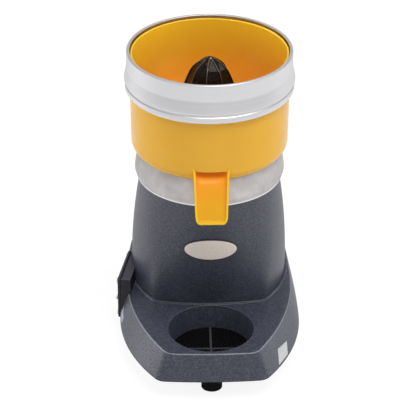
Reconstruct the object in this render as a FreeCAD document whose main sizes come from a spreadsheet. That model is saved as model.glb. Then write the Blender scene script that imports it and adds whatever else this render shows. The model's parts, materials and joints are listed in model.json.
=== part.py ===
"""Motor-driven citrus press: a cast base and tower carry a bowl, a strainer and a turning cone.

Frame: millimetres, +Z up, the floor at z = 0, the drive axis at x = y = 0, the spout towards -Y.
"""
import math
import os
import re

import FreeCAD
import Part
import Sketcher
from FreeCAD import Placement, Rotation, Vector

# ---------------------------------------------------------------- driving dimensions
SIZES = """
foot_height 24 floor to the skirt's lower edge
base_height 29 skirt edge to deck
base_front 153 drive axis to the skirt's front
base_rear 148.5 drive axis to the skirt's rear
base_half_width 101 widest half width of the skirt
base_wide_y -20 where the skirt is widest
base_side_arc 218 plan radius of the long sides before their widest point
base_rear_arc 1200 plan radius of the long sides behind it
base_end_arc 560 plan radius of the front and rear
base_corner 15 plan radius of the front corners
base_rear_corner 40 plan radius of the rear corners
skirt_lean 8 how far the sides lean in up to the deck
skirt_end_lean 11.4 how far the ends lean in up to the deck
deck_wide_y 15 where the deck is widest
deck_side_arc 290 plan radius of the deck's sides before their widest point
deck_rear_arc 900 plan radius of the deck's sides behind it
casting_wall 4 wall of both castings
smallest_corner 2 least plan radius of an inner corner
deck_edge_round 2.2 edge between deck and skirt
tower_height 148 deck to tower top
tower_top_radius 76.5 round top of the tower
tower_waist_up 87 deck to the waist section
tower_waist_inset 17.1 waist inside the skirt's half width
tower_waist_front 61.5 drive axis to the front at the waist
tower_waist_rear 100 drive axis to the rear at the waist
tower_waist_wide_y 18 where the waist is widest
tower_waist_side_arc 98 plan radius of the waist's sides
tower_waist_end_arc 120 plan radius of the waist's ends
tower_waist_corner 44 plan radius of the waist's corners
tower_foot_inset 13.5 tower's foot inside the skirt's widest half width
tower_foot_front 38.5 drive axis to the tower's foot in front
tower_foot_rear 126 drive axis to the tower's foot behind
tower_foot_wide_y 48 where the foot is widest
tower_foot_side_arc 130 plan radius of the foot's sides
tower_foot_end_arc 265 plan radius of the foot's ends
tower_foot_corner 11 plan radius of the foot's front corners
tower_foot_rear_corner 42 plan radius of the foot's rear corners
tower_seat_ledge 13 deck ledge under the tower's wall
deck_lip_width 2.6 raised lip round the tower's foot
deck_lip_height 1.8 height of that lip
seat_clearance 0.3 between parts that are set into each other
recess_radius 47.2 drip recess in the deck
recess_floor_radius 44.2 floor of the drip recess
recess_y 89.4 drive axis to the recess, forwards
recess_depth 29 depth of the drip recess
recess_floor 2.5 floor under the recess
recess_round 0.6 round between the recess's wall and floor
grid_radius 43.2 drip grid
grid_thickness 2.4 drip grid
grid_bar 2 width of its rings
grid_pitch 3.6 from ring to ring
grid_rings 11 number of rings
grid_arm 2.4 width of its four arms
plate_inset 1.5 bottom plate above the skirt's edge
plate_thickness 2 bottom plate
boss_radius 6 screw bosses
plate_screw_front_y 66 front plate screws, forwards
plate_screw_rear_y 76 rear plate screws, backwards
plate_screw_front_inset 29 front plate screws inside the widest half width
plate_screw_rear_inset 25 rear plate screws inside the widest half width
small_screw_radius 1.9 shank of the small screws
small_head_radius 3.6 head of the small screws
small_head_height 2.2 head of the small screws
screw_depth 12 how far the screws go in
screw_clearance 0.1 round a screw's shank
front_foot_y 124 front foot, forwards
rear_foot_y 104 rear feet, backwards
rear_foot_inset 43 rear feet inside the widest half width
foot_radius 11.5 tread of a foot
foot_top_radius 13.5 top of a foot
foot_groove 1.4 waist moulded round a foot
foot_bore_radius 5.5 hole for the screw head
foot_bore_depth 12 depth of that hole
tower_screw_front_inset 26.5 front tower screws inside the foot's half width
tower_screw_front_y 16 front tower screws, forwards
tower_screw_rear_inset 21.5 rear tower screws inside the foot's half width
tower_screw_rear_y 88 rear tower screws, backwards
tower_boss_height 22 bosses in the tower
tray_height 31 top tray
tray_edge_radius 79.5 lower edge of the tray
tray_belly_radius 81.9 widest radius of the tray
tray_rim_radius 77.4 upper edge of the tray
tray_bevel 8 lower edge to the belly
tray_wall 5 rim and web of the tray
spigot_radius 11 tube round the shaft, outside
spigot_bore 6.6 tube round the shaft, inside
spigot_up 30 tube above the tray
tray_screw_circle 17.5 screws that hold the tray
tray_screw_radius 2.5 shank
tray_head_radius 4.4 head
tray_head_height 3.6 head
tray_screw_count 3 screws
bowl_foot_radius 79.5 flat underside of the bowl
bowl_low_radius 85.2 wall just above the underside
bowl_low_up 9 height of that point
bowl_high_radius 86.3 wall at the ring
bowl_lip_radius 85.3 wall at the lip
bowl_wall 2.5 wall and floor of the bowl
bowl_shoulder_up 73.7 underside to the ring's seat
bowl_shoulder_radius 88 ring seat
bowl_shoulder_height 2 ring seat
bowl_lip_up 114.4 underside to the lip
column_clearance 0.6 bowl column round the spigot
column_wall 2.6 bowl column
column_up 33.5 underside to the top of the column
strainer_ledge_up 14 underside to the strainer's ledge
strainer_ledge 4 width of that ledge
strainer_thickness 1 sheet of the strainer
strainer_rim_up 7 upturned rim of the strainer
strainer_slot_width 2.2 slots of the strainer
strainer_slot_inner 26 slots start here
strainer_slot_outer 70 slots end here
strainer_slots 24 number of slots
spout_half_width 18.5 outside of the spout
spout_wall 2.3 walls of the spout
spout_reach 103 drive axis to the spout's tip
spout_drop 41.5 bowl underside to the spout's lower lip
spout_lip_depth 9 depth of the channel at the tip
spout_mouth_up 17.5 bowl underside to the top of the mouth
spout_root 84 where the channel's back leaves the wall
ring_height 44 splash ring
ring_rim_radius 89.4 top edge
ring_bulge_radius 92.5 widest radius
ring_bulge_up 12 lower edge to the widest place
ring_neck_up 25 lower edge to the end of the bulge
ring_crease_radius 91.4 crease above the flange
ring_crease_up 8 lower edge to the crease
ring_foot_radius 91 outer radius of the flange
ring_wall 1.5 sheet of the ring
ring_seat_inner 86.9 inner radius of the flange
ring_roll 3.6 width of the rolled edge
cone_radius 39 lower edge of the cone
cone_base_up 26 bowl underside to the cone's lower edge
cone_apex_down 8 ring's top edge to the cone's tip
cone_wall 3 wall of the cone
cone_rib_width 2.2 sharp ribs
cone_ribs 8 number of ribs
cone_flute_depth 3.2 how far the flutes lie below the ribs
cone_fullness 0.46 power of the height below the tip that the radius follows
insert_radius 9 metal insert in the cone
insert_length 30 length of the insert
cone_hub_wall 3 plastic round the insert
shaft_radius 5 drive shaft
shaft_top_gap 3 shaft's end to the end of the insert's bore
shaft_clearance 0.05 running fit on the shaft
pin_radius 1.5 cross pin
pin_length 15 cross pin
pin_up 5 insert's lower edge to the pin
bearing_radius 15 outside of both ball bearings
bearing_width 9 both ball bearings
motor_radius 45 end shields and stator
stator_length 42 stator stack
stator_top_down 30 tower top to the stator
shield_web 5 end shield
shield_wall 3 end shield's rim and hub
air_gap 0.5 rotor to stator
rotor_radius 24 rotor
slot_radius 33 outer radius of the slots
slot_width 5 winding slots
slot_count 12 winding slots
winding_height 9 winding heads above the stack
winding_inner 26.5 winding heads
winding_outer 36 winding heads
tie_circle 40.5 tie bolts
tie_radius 1.9 tie bolts
motor_screw_circle 36 screws through the tower's top
fan_radius 30 cooling fan
fan_height 9 cooling fan
fan_hub 9 cooling fan
fan_blade 1.6 blade thickness
fan_blades 9 number of blades
fan_gap 5 lower shield to the fan
seal_height 6 shaft seal
capacitor_radius 14 capacitor
capacitor_length 58 capacitor
capacitor_y 84 capacitor, backwards
clamp_thickness 1.6 capacitor clamp
clamp_width 12 capacitor clamp
terminal_length 38 terminal block
terminal_width 16 terminal block
terminal_height 13 terminal block
terminal_x 40 terminal block
terminal_y 34 terminal block
gland_radius 7.5 thread of the cable gland
gland_bore 3.7 bore of the cable gland
gland_head 10.5 head of the cable gland
gland_head_length 9 head of the cable gland
gland_nut_length 5 nut of the cable gland
gland_nut_radius 9 nut of the cable gland
gland_z 38 height of the cable gland
gland_x 30 cable gland, sideways
badge_half_width 29 oval badge
badge_half_height 14.6 oval badge
badge_thickness 1.2 oval badge
badge_z 136 height of the badge
label_thickness 0.3 both labels
label_z 33.5 middle of both labels
glue 0.05 under the badge and the labels
label_width 17 right label
label_height 16 right label
label_y 108 right label, forwards
left_label_width 17 left label
left_label_y 28 left label, forwards
switch_inset 3.5 cover's outer face inside the widest half width
switch_y 17 middle of the switch cover
switch_yaw 10.9 the cover turns in towards the rear
switch_length 62.3 switch box
switch_bottom 21 lower edge of the switch box
switch_top 71 upper edge of the switch box
switch_cover_thickness 3 cover plate
switch_gasket 0.9 gasket behind the cover
switch_gasket_inset 1.4 gasket inside the cover's edge
switch_box_depth 10.7 box behind the gasket
switch_wall 2.4 wall of the switch box
wire_hole_radius 4 hole for the wires in the box's back
rocker_along -14 rocker's middle from the cover's middle, along the cover
rocker_width 13 rocker
rocker_swing_radius 10.2 rocker's ends from its pivot
rocker_pivot 2.6 pivot behind the cover's face
rocker_rise 3.2 rocker's ends in front of the cover's face, level
rocker_dip 1.5 middle of the rocker's face below its ends
rocker_back 7 rocker's back behind the cover's face
rocker_tilt 9 half of the rocker's swing
bezel_width 2 frame round the rocker
bezel_rise 0.8 frame in front of the cover
rocker_gap 0.4 rocker in its frame
module_depth 5.5 switch body behind the rocker
cover_screw_inset 4.6 cover screws from the edges
"""

# heights and places that follow from them
PLACES = """
skirt_z = foot_height
deck_z = foot_height + base_height
deck_front = base_front - skirt_end_lean
deck_rear = base_rear - skirt_end_lean
deck_half_width = base_half_width - skirt_lean
deck_end_arc = base_end_arc
deck_corner = base_corner
deck_rear_corner = base_rear_corner
tower_waist_half_width = base_half_width - tower_waist_inset
tower_waist_rear_arc = tower_waist_side_arc
tower_waist_rear_corner = tower_waist_corner
tower_foot_rear_arc = tower_foot_side_arc
tower_foot_half_width = base_half_width - tower_foot_inset
plate_screw_front_x = base_half_width - plate_screw_front_inset
plate_screw_rear_x = base_half_width - plate_screw_rear_inset
rear_foot_x = base_half_width - rear_foot_inset
tower_screw_front_x = tower_foot_half_width - tower_screw_front_inset
tower_screw_rear_x = tower_foot_half_width - tower_screw_rear_inset
tower_top = deck_z + tower_height
tray_top = tower_top + tray_height
bowl_z = tray_top + seat_clearance
bowl_lip = bowl_z + bowl_lip_up
ring_z = bowl_z + bowl_shoulder_up
ring_top = ring_z + ring_height
floor_z = deck_z - recess_depth
cup_z = floor_z - recess_floor
plate_z = skirt_z + plate_inset
plate_top = plate_z + plate_thickness
column_bore = spigot_radius + column_clearance
column_radius = column_bore + column_wall
column_top = bowl_z + column_up
cone_z = bowl_z + cone_base_up
cone_tip = ring_top - cone_apex_down
insert_z = column_top + 2 * column_clearance
insert_top = insert_z + insert_length
shaft_top = insert_top - shaft_top_gap
pin_z = insert_z + pin_up
ceiling_z = tower_top - casting_wall
stator_top = tower_top - stator_top_down
stator_z = stator_top - stator_length
lower_shield_z = stator_z - winding_height - air_gap - shield_web
upper_web_z = ceiling_z - shield_web
fan_top = lower_shield_z - fan_gap
fan_z = fan_top - fan_height
ledge_z = bowl_z + strainer_ledge_up
spout_lip_z = bowl_z - spout_drop
switch_x = base_half_width - switch_inset
switch_tall = switch_top - switch_bottom
switch_mid = (switch_top + switch_bottom) / 2
box_face = switch_cover_thickness + switch_gasket
"""

doc = FreeCAD.newDocument("citrus_press")
sheet = doc.addObject("Spreadsheet::Sheet", "Sizes")
driving = {}
for row, line in enumerate(SIZES.strip().splitlines(), start=1):
    alias, number, note = line.split(" ", 2)
    sheet.set(f"A{row}", note)
    sheet.set(f"B{row}", number)
    sheet.setAlias(f"B{row}", alias)
    driving[alias] = number
places = dict(line.split(" = ", 1) for line in PLACES.strip().splitlines())
doc.recompute()


def bind(text):
    """Turn a formula in plain names into an expression on the sheet."""
    def swap(match):
        word = match.group(0)
        if word in places:
            return "(" + bind(places[word]) + ")"
        return "Sizes." + word if word in driving else word
    return re.sub(r"[A-Za-z_]\w*", swap, str(text))


def value(text):
    """The present number of a formula."""
    found = sheet.evalExpression(bind(text))
    return float(getattr(found, "Value", found))


# ---------------------------------------------------------------- building blocks
nodes = {}


def keep(label, thing):
    """Name a finished sub-part."""
    thing.Label = label
    nodes[label] = thing
    return thing


def helper(kind, name):
    return doc.addObject(kind, name)


def put(thing, x=0, y=0, z=0):
    for letter, formula in zip("xyz", (x, y, z)):
        thing.setExpression(f"Placement.Base.{letter}", bind(formula))
    return thing


def turn(thing, axis, angle):
    thing.Placement = Placement(thing.Placement.Base, Rotation(axis, 1))
    thing.setExpression("Placement.Rotation.Angle", bind(angle))
    return thing


def rod(name, radius, height, x=0, y=0, z=0):
    thing = helper("Part::Cylinder", name)
    thing.setExpression("Radius", bind(radius))
    thing.setExpression("Height", bind(height))
    return put(thing, x, y, z)


def block(name, length, width, height, x=0, y=0, z=0):
    """A box from its middle in X and Y, and its underside."""
    thing = helper("Part::Box", name)
    thing.setExpression("Length", bind(length))
    thing.setExpression("Width", bind(width))
    thing.setExpression("Height", bind(height))
    return put(thing, f"({x}) - ({length}) / 2", f"({y}) - ({width}) / 2", z)


def fuse(name, shapes):
    thing = helper("Part::MultiFuse", name)
    thing.Shapes = shapes
    return thing


def common(name, shapes):
    thing = helper("Part::MultiCommon", name)
    thing.Shapes = shapes
    return thing


def group(name, shapes):
    thing = helper("Part::Compound", name)
    thing.Links = shapes
    return thing


def cut(name, base, tools):
    thing = helper("Part::Cut", name)
    thing.Base = base
    thing.Tool = tools[0] if len(tools) == 1 else fuse(name + "_tools", tools)
    return thing


def round_places(count, circle, start=0):
    """X and Y formulas of places spread evenly on a circle."""
    total = int(value(count))
    angles = [f"({start} + {i} * 360 / {count}) * 1 deg" for i in range(total)]
    return [(f"({circle}) * cos({a})", f"({circle}) * sin({a})") for a in angles]


def outline_sketch(body, plane, name, corners, arcs=None):
    """A closed sketch whose corners, and arc radii, are bound to the sheet."""
    arcs = arcs or {}
    sketch = body.newObject("Sketcher::SketchObject", name)
    origin = [f for f in body.Origin.OriginFeatures if f.Role == plane][0]
    sketch.AttachmentSupport = [(origin, "")]
    sketch.MapMode = "FlatFace"
    points = [Vector(value(a), value(b), 0) for a, b in corners]
    starts = []
    for i, first in enumerate(points):
        last = points[(i + 1) % len(points)]
        if i not in arcs:
            sketch.addGeometry(Part.LineSegment(first, last), False)
            starts.append((1, 2))
            continue
        radius = value(arcs[i])
        chord = last - first
        side = Vector(-chord.y, chord.x, 0).normalize()
        depth = math.sqrt(radius ** 2 - (chord.Length / 2) ** 2)
        centre = (first + last) / 2 + side * math.copysign(depth, radius)
        begin, end = (first, last) if radius > 0 else (last, first)
        angles = [math.atan2(p.y - centre.y, p.x - centre.x) for p in (begin, end)]
        circle = Part.Circle(centre, Vector(0, 0, 1), abs(radius))
        sketch.addGeometry(Part.ArcOfCircle(circle, *angles), False)
        starts.append((1, 2) if radius > 0 else (2, 1))
    for i in range(len(points)):
        j = (i + 1) % len(points)
        sketch.addConstraint(Sketcher.Constraint("Coincident", i, starts[i][1], j, starts[j][0]))
    for i, corner in enumerate(corners):
        for kind, formula in zip(("DistanceX", "DistanceY"), corner):
            if str(formula) == "0":
                axis = -2 if kind == "DistanceX" else -1
                sketch.addConstraint(Sketcher.Constraint("PointOnObject", i, starts[i][0], axis))
                continue
            number = sketch.addConstraint(
                Sketcher.Constraint(kind, -1, 1, i, starts[i][0], value(formula)))
            sketch.setExpression(f"Constraints[{number}]", bind(formula))
    for i, radius in arcs.items():
        number = sketch.addConstraint(Sketcher.Constraint("Radius", i, abs(value(radius))))
        sketch.setExpression(f"Constraints[{number}]", bind(f"abs({radius})"))
    return sketch


def turned(name, corners, arcs=None):
    """A body of revolution about Z from a half section given as (radius, height)."""
    body = helper("PartDesign::Body", name)
    sketch = outline_sketch(body, "XZ_Plane", name + "_section", corners, arcs)
    feature = body.newObject("PartDesign::Revolution", name + "_turn")
    feature.Profile = sketch
    feature.ReferenceAxis = (sketch, ["V_Axis"])
    feature.Angle = 360
    sketch.Visibility = False
    return body


def side_pad(name, corners, width, arcs=None):
    """A body with its outline in the YZ plane, as wide on both sides of the middle."""
    body = helper("PartDesign::Body", name)
    sketch = outline_sketch(body, "YZ_Plane", name + "_section", corners, arcs)
    feature = body.newObject("PartDesign::Pad", name + "_pad")
    feature.Profile = sketch
    feature.Midplane = True
    feature.setExpression("Length", bind(width))
    return body


def ring_of(name, outer, inner, low, high):
    return turned(name, [(inner, low), (outer, low), (outer, high), (inner, high)])


# ---------------------------------------------------------------- plan outlines of the castings
def corner_arc(side, end, radius):
    """Centre and touching points of an arc that joins a side arc and an end arc."""
    (sc, sr), (ec, er) = side, end
    a, b = sr - radius, er - radius
    line = ec - sc
    along = (a ** 2 - b ** 2 + line.Length ** 2) / (2 * line.Length)
    across = math.sqrt(a ** 2 - along ** 2)
    unit = Vector(line).normalize()
    middle = sc + unit * along
    normal = Vector(-unit.y, unit.x, 0)
    centre = max((middle + normal * across, middle - normal * across), key=lambda p: p.x)
    on_side = centre + (centre - sc).normalize() * radius
    on_end = centre + (centre - ec).normalize() * radius
    return centre, on_side, on_end


def plan_wire(z, plan, grow=0.0):
    """A barrel-shaped outline of ten tangent arcs at height z, the front towards -Y. Its sizes'
    names start with plan, and grow moves it outwards all round."""
    def size(part):
        return value(f"{plan}_{part}")

    def lift(p):
        return Vector(p.x, p.y, z)

    def mirror(p):
        return Vector(-p.x, p.y, z)

    half_width, wide_y, end_arc = size("half_width"), size("wide_y"), size("end_arc")
    widest = Vector(half_width + grow, wide_y, 0)
    right = []
    for side_arc, reach, bend, way in ((size("side_arc"), size("front"), size("corner"), -1),
                                       (size("rear_arc"), size("rear"), size("rear_corner"), 1)):
        side = (Vector(half_width - side_arc, wide_y, 0), side_arc + grow)
        end = (Vector(0, way * (reach - end_arc), 0), end_arc + grow)
        bend = max(bend + grow, value("smallest_corner"))
        centre, on_side, on_end = corner_arc(side, end, bend)
        on_bend = centre + ((on_side + on_end) / 2 - centre).normalize() * bend
        between = side[0] + ((widest + on_side) / 2 - side[0]).normalize() * side[1]
        right.append((on_end, on_bend, on_side, between, Vector(0, way * (reach + grow), 0)))
    (f_end, f_bend, f_side, f_part, f_mid), (r_end, r_bend, r_side, r_part, r_mid) = right
    path = [(f_end, f_bend, f_side), (f_side, f_part, widest), (widest, r_part, r_side),
            (r_side, r_bend, r_end)]
    edges = [Part.Arc(mirror(f_end), lift(f_mid), lift(f_end))]
    edges += [Part.Arc(lift(p), lift(q), lift(r)) for p, q, r in path]
    edges.append(Part.Arc(lift(r_end), lift(r_mid), mirror(r_end)))
    edges += [Part.Arc(mirror(r), mirror(q), mirror(p)) for p, q, r in reversed(path)]
    return Part.Wire([edge.toShape() for edge in edges])


def circle_wire(z, radius):
    """A circle split where its arcs meet those of the barrel-shaped outlines, in degrees."""
    turns = (-112, -68, -40, 0, 40, 68, 112, 140, 180, 220, 248)

    def at(angle):
        turn_by = math.radians(angle)
        return Vector(radius * math.cos(turn_by), radius * math.sin(turn_by), z)

    edges = [Part.Arc(at(a), at((a + b) / 2), at(b)).toShape() for a, b in zip(turns, turns[1:])]
    return Part.Wire(edges)


def base_form(grow=0.0, top=0.0, low=0.0):
    """The base's outer form, grown or shrunk all round, its top and underside moved."""
    wires = [plan_wire(value("skirt_z") + low, "base", grow),
             plan_wire(value("deck_z") + top, "deck", grow)]
    return Part.makeLoft(wires, True, True)


def tower_form(grow=0.0, top=0.0):
    """The tower's outer form: barrel-shaped at its foot, round at its top."""
    wires = [plan_wire(value("deck_z"), "tower_foot", grow),
             plan_wire(value("deck_z + tower_waist_up"), "tower_waist", grow),
             circle_wire(value("tower_top") + top, value("tower_top_radius") + grow)]
    return Part.makeLoft(wires, True, False)


def form(name, shape):
    """A sculpted form that no sketch or primitive describes."""
    thing = helper("Part::Feature", name)
    thing.Shape = shape
    return thing


def foot_prism(name, z, height, grow):
    """The tower foot's outline as an upright prism."""
    wire = plan_wire(value(z), "tower_foot", value(grow))
    return form(name, Part.Face(wire).extrude(Vector(0, 0, value(height))))


# ---------------------------------------------------------------- screws
def screw(name, x, y, z, radius, head_radius, head_height, length, up=True):
    """A pan-head screw whose head's bearing face is at z; the shank goes up or down."""
    if up:
        head = rod(name + "_head", head_radius, head_height, x, y, f"{z} - ({head_height})")
        shank = rod(name + "_shank", radius, length, x, y, z)
    else:
        head = rod(name + "_head", head_radius, head_height, x, y, z)
        shank = rod(name + "_shank", radius, length, x, y, f"{z} - ({length})")
    return fuse(name, [head, shank])


def small_screw(name, x, y, z, length, up=True):
    return screw(name, x, y, z, "small_screw_radius", "small_head_radius", "small_head_height",
                 length, up)


def small_hole(name, x, y, z, length):
    return rod(name, "small_screw_radius + screw_clearance", length, x, y, z)


plate_screws = [(f"{s} * plate_screw_front_x", "-plate_screw_front_y") for s in (-1, 1)]
plate_screws += [(f"{s} * plate_screw_rear_x", "plate_screw_rear_y") for s in (-1, 1)]
tower_screws = [(f"{s} * tower_screw_front_x", "-tower_screw_front_y") for s in (-1, 1)]
tower_screws += [(f"{s} * tower_screw_rear_x", "tower_screw_rear_y") for s in (-1, 1)]
foot_places = {"front_foot": ("0", "-front_foot_y"), "rear_left_foot": ("-rear_foot_x", "rear_foot_y"),
               "rear_right_foot": ("rear_foot_x", "rear_foot_y")}
tray_screw_places = round_places("tray_screw_count", "tray_screw_circle", 30)
motor_screw_places = round_places(4, "motor_screw_circle", 45)
tie_places = round_places(4, "tie_circle", 0)


# ---------------------------------------------------------------- base casting
def switch_place(thing, x, y, z):
    """Place by the switch cover's own axes: x inwards from its face, y to the rear, z up."""
    thing.Placement = Placement(Vector(), Rotation(Vector(0, 0, 1), -value("switch_yaw")))
    thing.setExpression("Placement.Rotation.Angle", bind("-switch_yaw * 1 deg + 360 deg"))
    thing.setExpression("Placement.Base.x", bind(
        f"-switch_x + ({x}) * cos(switch_yaw * 1 deg) + ({y}) * sin(switch_yaw * 1 deg)"))
    thing.setExpression("Placement.Base.y", bind(
        f"switch_y - ({x}) * sin(switch_yaw * 1 deg) + ({y}) * cos(switch_yaw * 1 deg)"))
    thing.setExpression("Placement.Base.z", bind(z))
    return thing


def switch_block(name, depth, length, height, x, y, z):
    """A box in the switch cover's axes, from its middle along the cover."""
    thing = helper("Part::Box", name)
    thing.setExpression("Length", bind(depth))
    thing.setExpression("Width", bind(length))
    thing.setExpression("Height", bind(height))
    return switch_place(thing, x, f"({y}) - ({length}) / 2", z)


def switch_pocket(name):
    """The room that the switch box takes, with its clearance, open to the outside."""
    return switch_block(name, "box_face + switch_box_depth * 2 + seat_clearance",
                        "switch_length + seat_clearance * 2", "switch_tall + seat_clearance * 2",
                        "-switch_box_depth", 0, "switch_bottom - seat_clearance")


def along_y(name, radius, length, x, y, z):
    """A cylinder along Y from y towards the rear."""
    thing = rod(name, radius, length, x, y, z)
    return turn(thing, Vector(1, 0, 0), "270 deg")


def make_base():
    solid = base_form()
    deck_edges = [e for e in solid.Edges
                  if min(v.Z for v in e.Vertexes) > value("deck_z") - value("seat_clearance")]
    rounded = form("base_outside", solid.makeFillet(value("deck_edge_round"), deck_edges))
    lip = foot_prism("deck_lip", "deck_z - casting_wall / 2", "deck_lip_height + casting_wall / 2",
                     "deck_lip_width + seat_clearance")
    seat = form("tower_seat", tower_form(value("seat_clearance")))
    pocket = switch_pocket("switch_pocket")
    opening = foot_prism("wiring_opening", "skirt_z", "base_height * 2", "-tower_seat_ledge")
    inner = base_form(-value("casting_wall"), -value("casting_wall"), -value("seat_clearance"))
    cup = rod("cup_outside", "recess_radius + recess_floor", "deck_z - casting_wall / 2 - cup_z",
              0, "-recess_y", "cup_z")
    bosses = [rod(f"plate_boss_{i}", "boss_radius", "deck_z - plate_top", x, y, "plate_top")
              for i, (x, y) in enumerate(plate_screws)]
    cavity = cut("base_cavity", form("base_inside", inner), [cup] + bosses)
    recess = turned("drip_recess",
                    [("0", "floor_z"), ("recess_floor_radius - recess_round", "floor_z"),
                     ("recess_floor_radius", "floor_z + recess_round"),
                     ("recess_radius", "deck_z"), ("recess_radius", "deck_z + casting_wall"),
                     ("0", "deck_z + casting_wall")],
                    {1: "recess_round"})
    put(recess, 0, "-recess_y", 0)
    holes = [small_hole(f"plate_hole_{i}", x, y, "plate_z", "plate_thickness + screw_depth")
             for i, (x, y) in enumerate(plate_screws)]
    holes += [small_hole(f"tower_hole_{i}", x, y, "skirt_z", "base_height * 2")
              for i, (x, y) in enumerate(tower_screws)]
    holes.append(along_y("gland_hole", "gland_radius + screw_clearance", "base_rear / 2",
                         "gland_x", "base_rear / 2", "gland_z"))
    holes.append(small_hole("foot_thread", 0, "-front_foot_y", "cup_z - recess_floor",
                            "recess_floor * 7 / 4"))
    body = fuse("base_body", [rounded, lip, cup])
    keep("base_casting", cut("base_casting", body, [seat, opening, cavity, recess, pocket] + holes))


def make_tower():
    outside = form("tower_outside", tower_form())
    inside = form("tower_inside", tower_form(-value("casting_wall"), -value("casting_wall")))
    wells = [rod(f"tower_boss_{i}", "boss_radius", "tower_boss_height", x, y, "deck_z")
             for i, (x, y) in enumerate(tower_screws)]
    hollow = cut("tower_hollow", inside, wells)
    holes = [small_hole(f"tower_thread_{i}", x, y, "deck_z", "screw_depth + casting_wall")
             for i, (x, y) in enumerate(tower_screws)]
    holes.append(rod("tower_bore", "bearing_radius + shield_wall + seat_clearance",
                     "casting_wall * 2", 0, 0, "tower_top - casting_wall * 3 / 2"))
    holes += [rod(f"tray_thread_{i}", "tray_screw_radius + screw_clearance", "casting_wall * 3",
                  x, y, "tower_top - casting_wall * 2") for i, (x, y) in enumerate(tray_holes())]
    holes += [small_hole(f"motor_hole_{i}", x, y, "ceiling_z - casting_wall", "casting_wall * 3")
              for i, (x, y) in enumerate(motor_screw_places)]
    return keep("tower_casting", cut("tower_casting", outside, [hollow] + holes))


def tray_holes():
    """Tray screws stand outside the bore for the motor's hub."""
    return round_places("tray_screw_count", "tray_screw_circle + bearing_radius", 30)


def make_bottom_plate():
    low = plan_wire(value("plate_z"), "base",
                    -value("casting_wall + seat_clearance * 2 + plate_inset * 2"))
    sheet_form = form("plate_sheet", Part.Face(low).extrude(Vector(0, 0, value("plate_thickness"))))
    holes = [small_hole(f"plate_pass_{i}", x, y, "plate_z - casting_wall", "casting_wall * 3")
             for i, (x, y) in enumerate(plate_screws)]
    holes += [small_hole(f"foot_pass_{i}", x, y, "plate_z - casting_wall", "casting_wall * 3")
              for i, (x, y) in enumerate(foot_places.values())]
    slot_rows = 7
    holes += [block(f"vent_{i}", "rear_foot_x", "gland_bore", "casting_wall * 3", 0,
                    f"({i} - {slot_rows // 2}) * gland_radius", "plate_z - casting_wall")
              for i in range(slot_rows)]
    holes.append(switch_pocket("plate_notch"))
    holes.append(rod("plate_cup_hole", "recess_radius + recess_floor + seat_clearance * 2",
                     "casting_wall * 3", 0, "-recess_y", "plate_z - casting_wall"))
    keep("bottom_plate", cut("bottom_plate", sheet_form, holes))
    keep("bottom_plate_screws", group("bottom_plate_screws", [
        small_screw(f"plate_screw_{i}", x, y, "plate_z", "plate_thickness + screw_depth - 1")
        for i, (x, y) in enumerate(plate_screws)]))
    keep("tower_screws", group("tower_screws", [
        small_screw(f"tower_screw_{i}", x, y, "deck_z - casting_wall", "casting_wall + screw_depth")
        for i, (x, y) in enumerate(tower_screws)]))


def make_feet():
    """The front foot is screwed to the recess's cup, the rear feet to the bottom plate."""
    screws = []
    for label, (x, y) in foot_places.items():
        top, tip = ("cup_z", "cup_z + recess_floor / 2") if x == "0" else ("plate_z", "plate_top")
        outside = turned(label + "_rubber", [
            ("0", "0"), ("foot_radius", "0"), ("foot_radius", "foot_height / 4"),
            ("foot_radius - foot_groove", "foot_height / 3"),
            ("foot_radius", "foot_height / 2"), ("foot_top_radius", "foot_height * 3 / 4"),
            ("foot_top_radius", top), ("0", top)])
        put(outside, x, y, 0)
        bore = rod(label + "_bore", "foot_bore_radius", "foot_bore_depth", x, y, 0)
        hole = small_hole(label + "_hole", x, y, 0, "foot_height * 2")
        keep(label, cut(label, outside, [bore, hole]))
        screws.append(small_screw(label + "_screw", x, y, "foot_bore_depth",
                                  f"{tip} - foot_bore_depth"))
    keep("foot_screws", group("foot_screws", screws))


def make_grid():
    rings = [ring_of(f"grid_ring_{i}", f"grid_radius - {i} * grid_pitch",
                     f"grid_radius - {i} * grid_pitch - grid_bar", "floor_z",
                     "floor_z + grid_thickness") for i in range(int(value("grid_rings")))]
    for ring in rings:
        put(ring, 0, "-recess_y", 0)
    arms = [block("grid_arm_x", "grid_radius * 2 - grid_bar", "grid_arm", "grid_thickness",
                  0, "-recess_y", "floor_z"),
            block("grid_arm_y", "grid_arm", "grid_radius * 2 - grid_bar", "grid_thickness",
                  0, "-recess_y", "floor_z")]
    hub = rod("grid_hub", "grid_bar", "grid_thickness", 0, "-recess_y", "floor_z")
    keep("drip_grid", fuse("drip_grid", rings + arms + [hub]))


def make_trim():
    """The blank oval badge and two blank labels follow the surfaces that they are stuck to."""
    oval = helper("Part::Ellipse", "badge_oval")
    oval.setExpression("MajorRadius", bind("badge_half_width"))
    oval.setExpression("MinorRadius", bind("badge_half_height"))
    prism = helper("Part::Extrusion", "badge_prism")
    prism.Base = oval
    prism.Dir = Vector(0, 0, 1)
    prism.setExpression("LengthFwd", bind("tower_top_radius"))
    prism.Solid = True
    turn(prism, Vector(1, 0, 0), "90 deg")
    put(prism, 0, "-tower_foot_front / 2", "badge_z")
    grown = form("tower_grown", tower_form(value("glue + badge_thickness")))
    back = form("badge_back", tower_form(value("glue")))
    keep("name_badge", cut("name_badge", common("badge_slice", [grown, prism]), [back]))
    thick = form("base_grown", base_form(value("glue + label_thickness")))
    for label, side, width, y in (("right_label", 1, "label_width", "label_y"),
                                  ("left_label", -1, "left_label_width", "left_label_y")):
        window = block(label + "_window", "base_half_width", width, "label_height",
                       f"{side} * base_half_width", f"-{y}", "label_z - label_height / 2")
        piece = common(label + "_slice", [thick, window])
        keep(label, cut(label, piece, [form(label + "_back", base_form(value("glue")))]))


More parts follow.
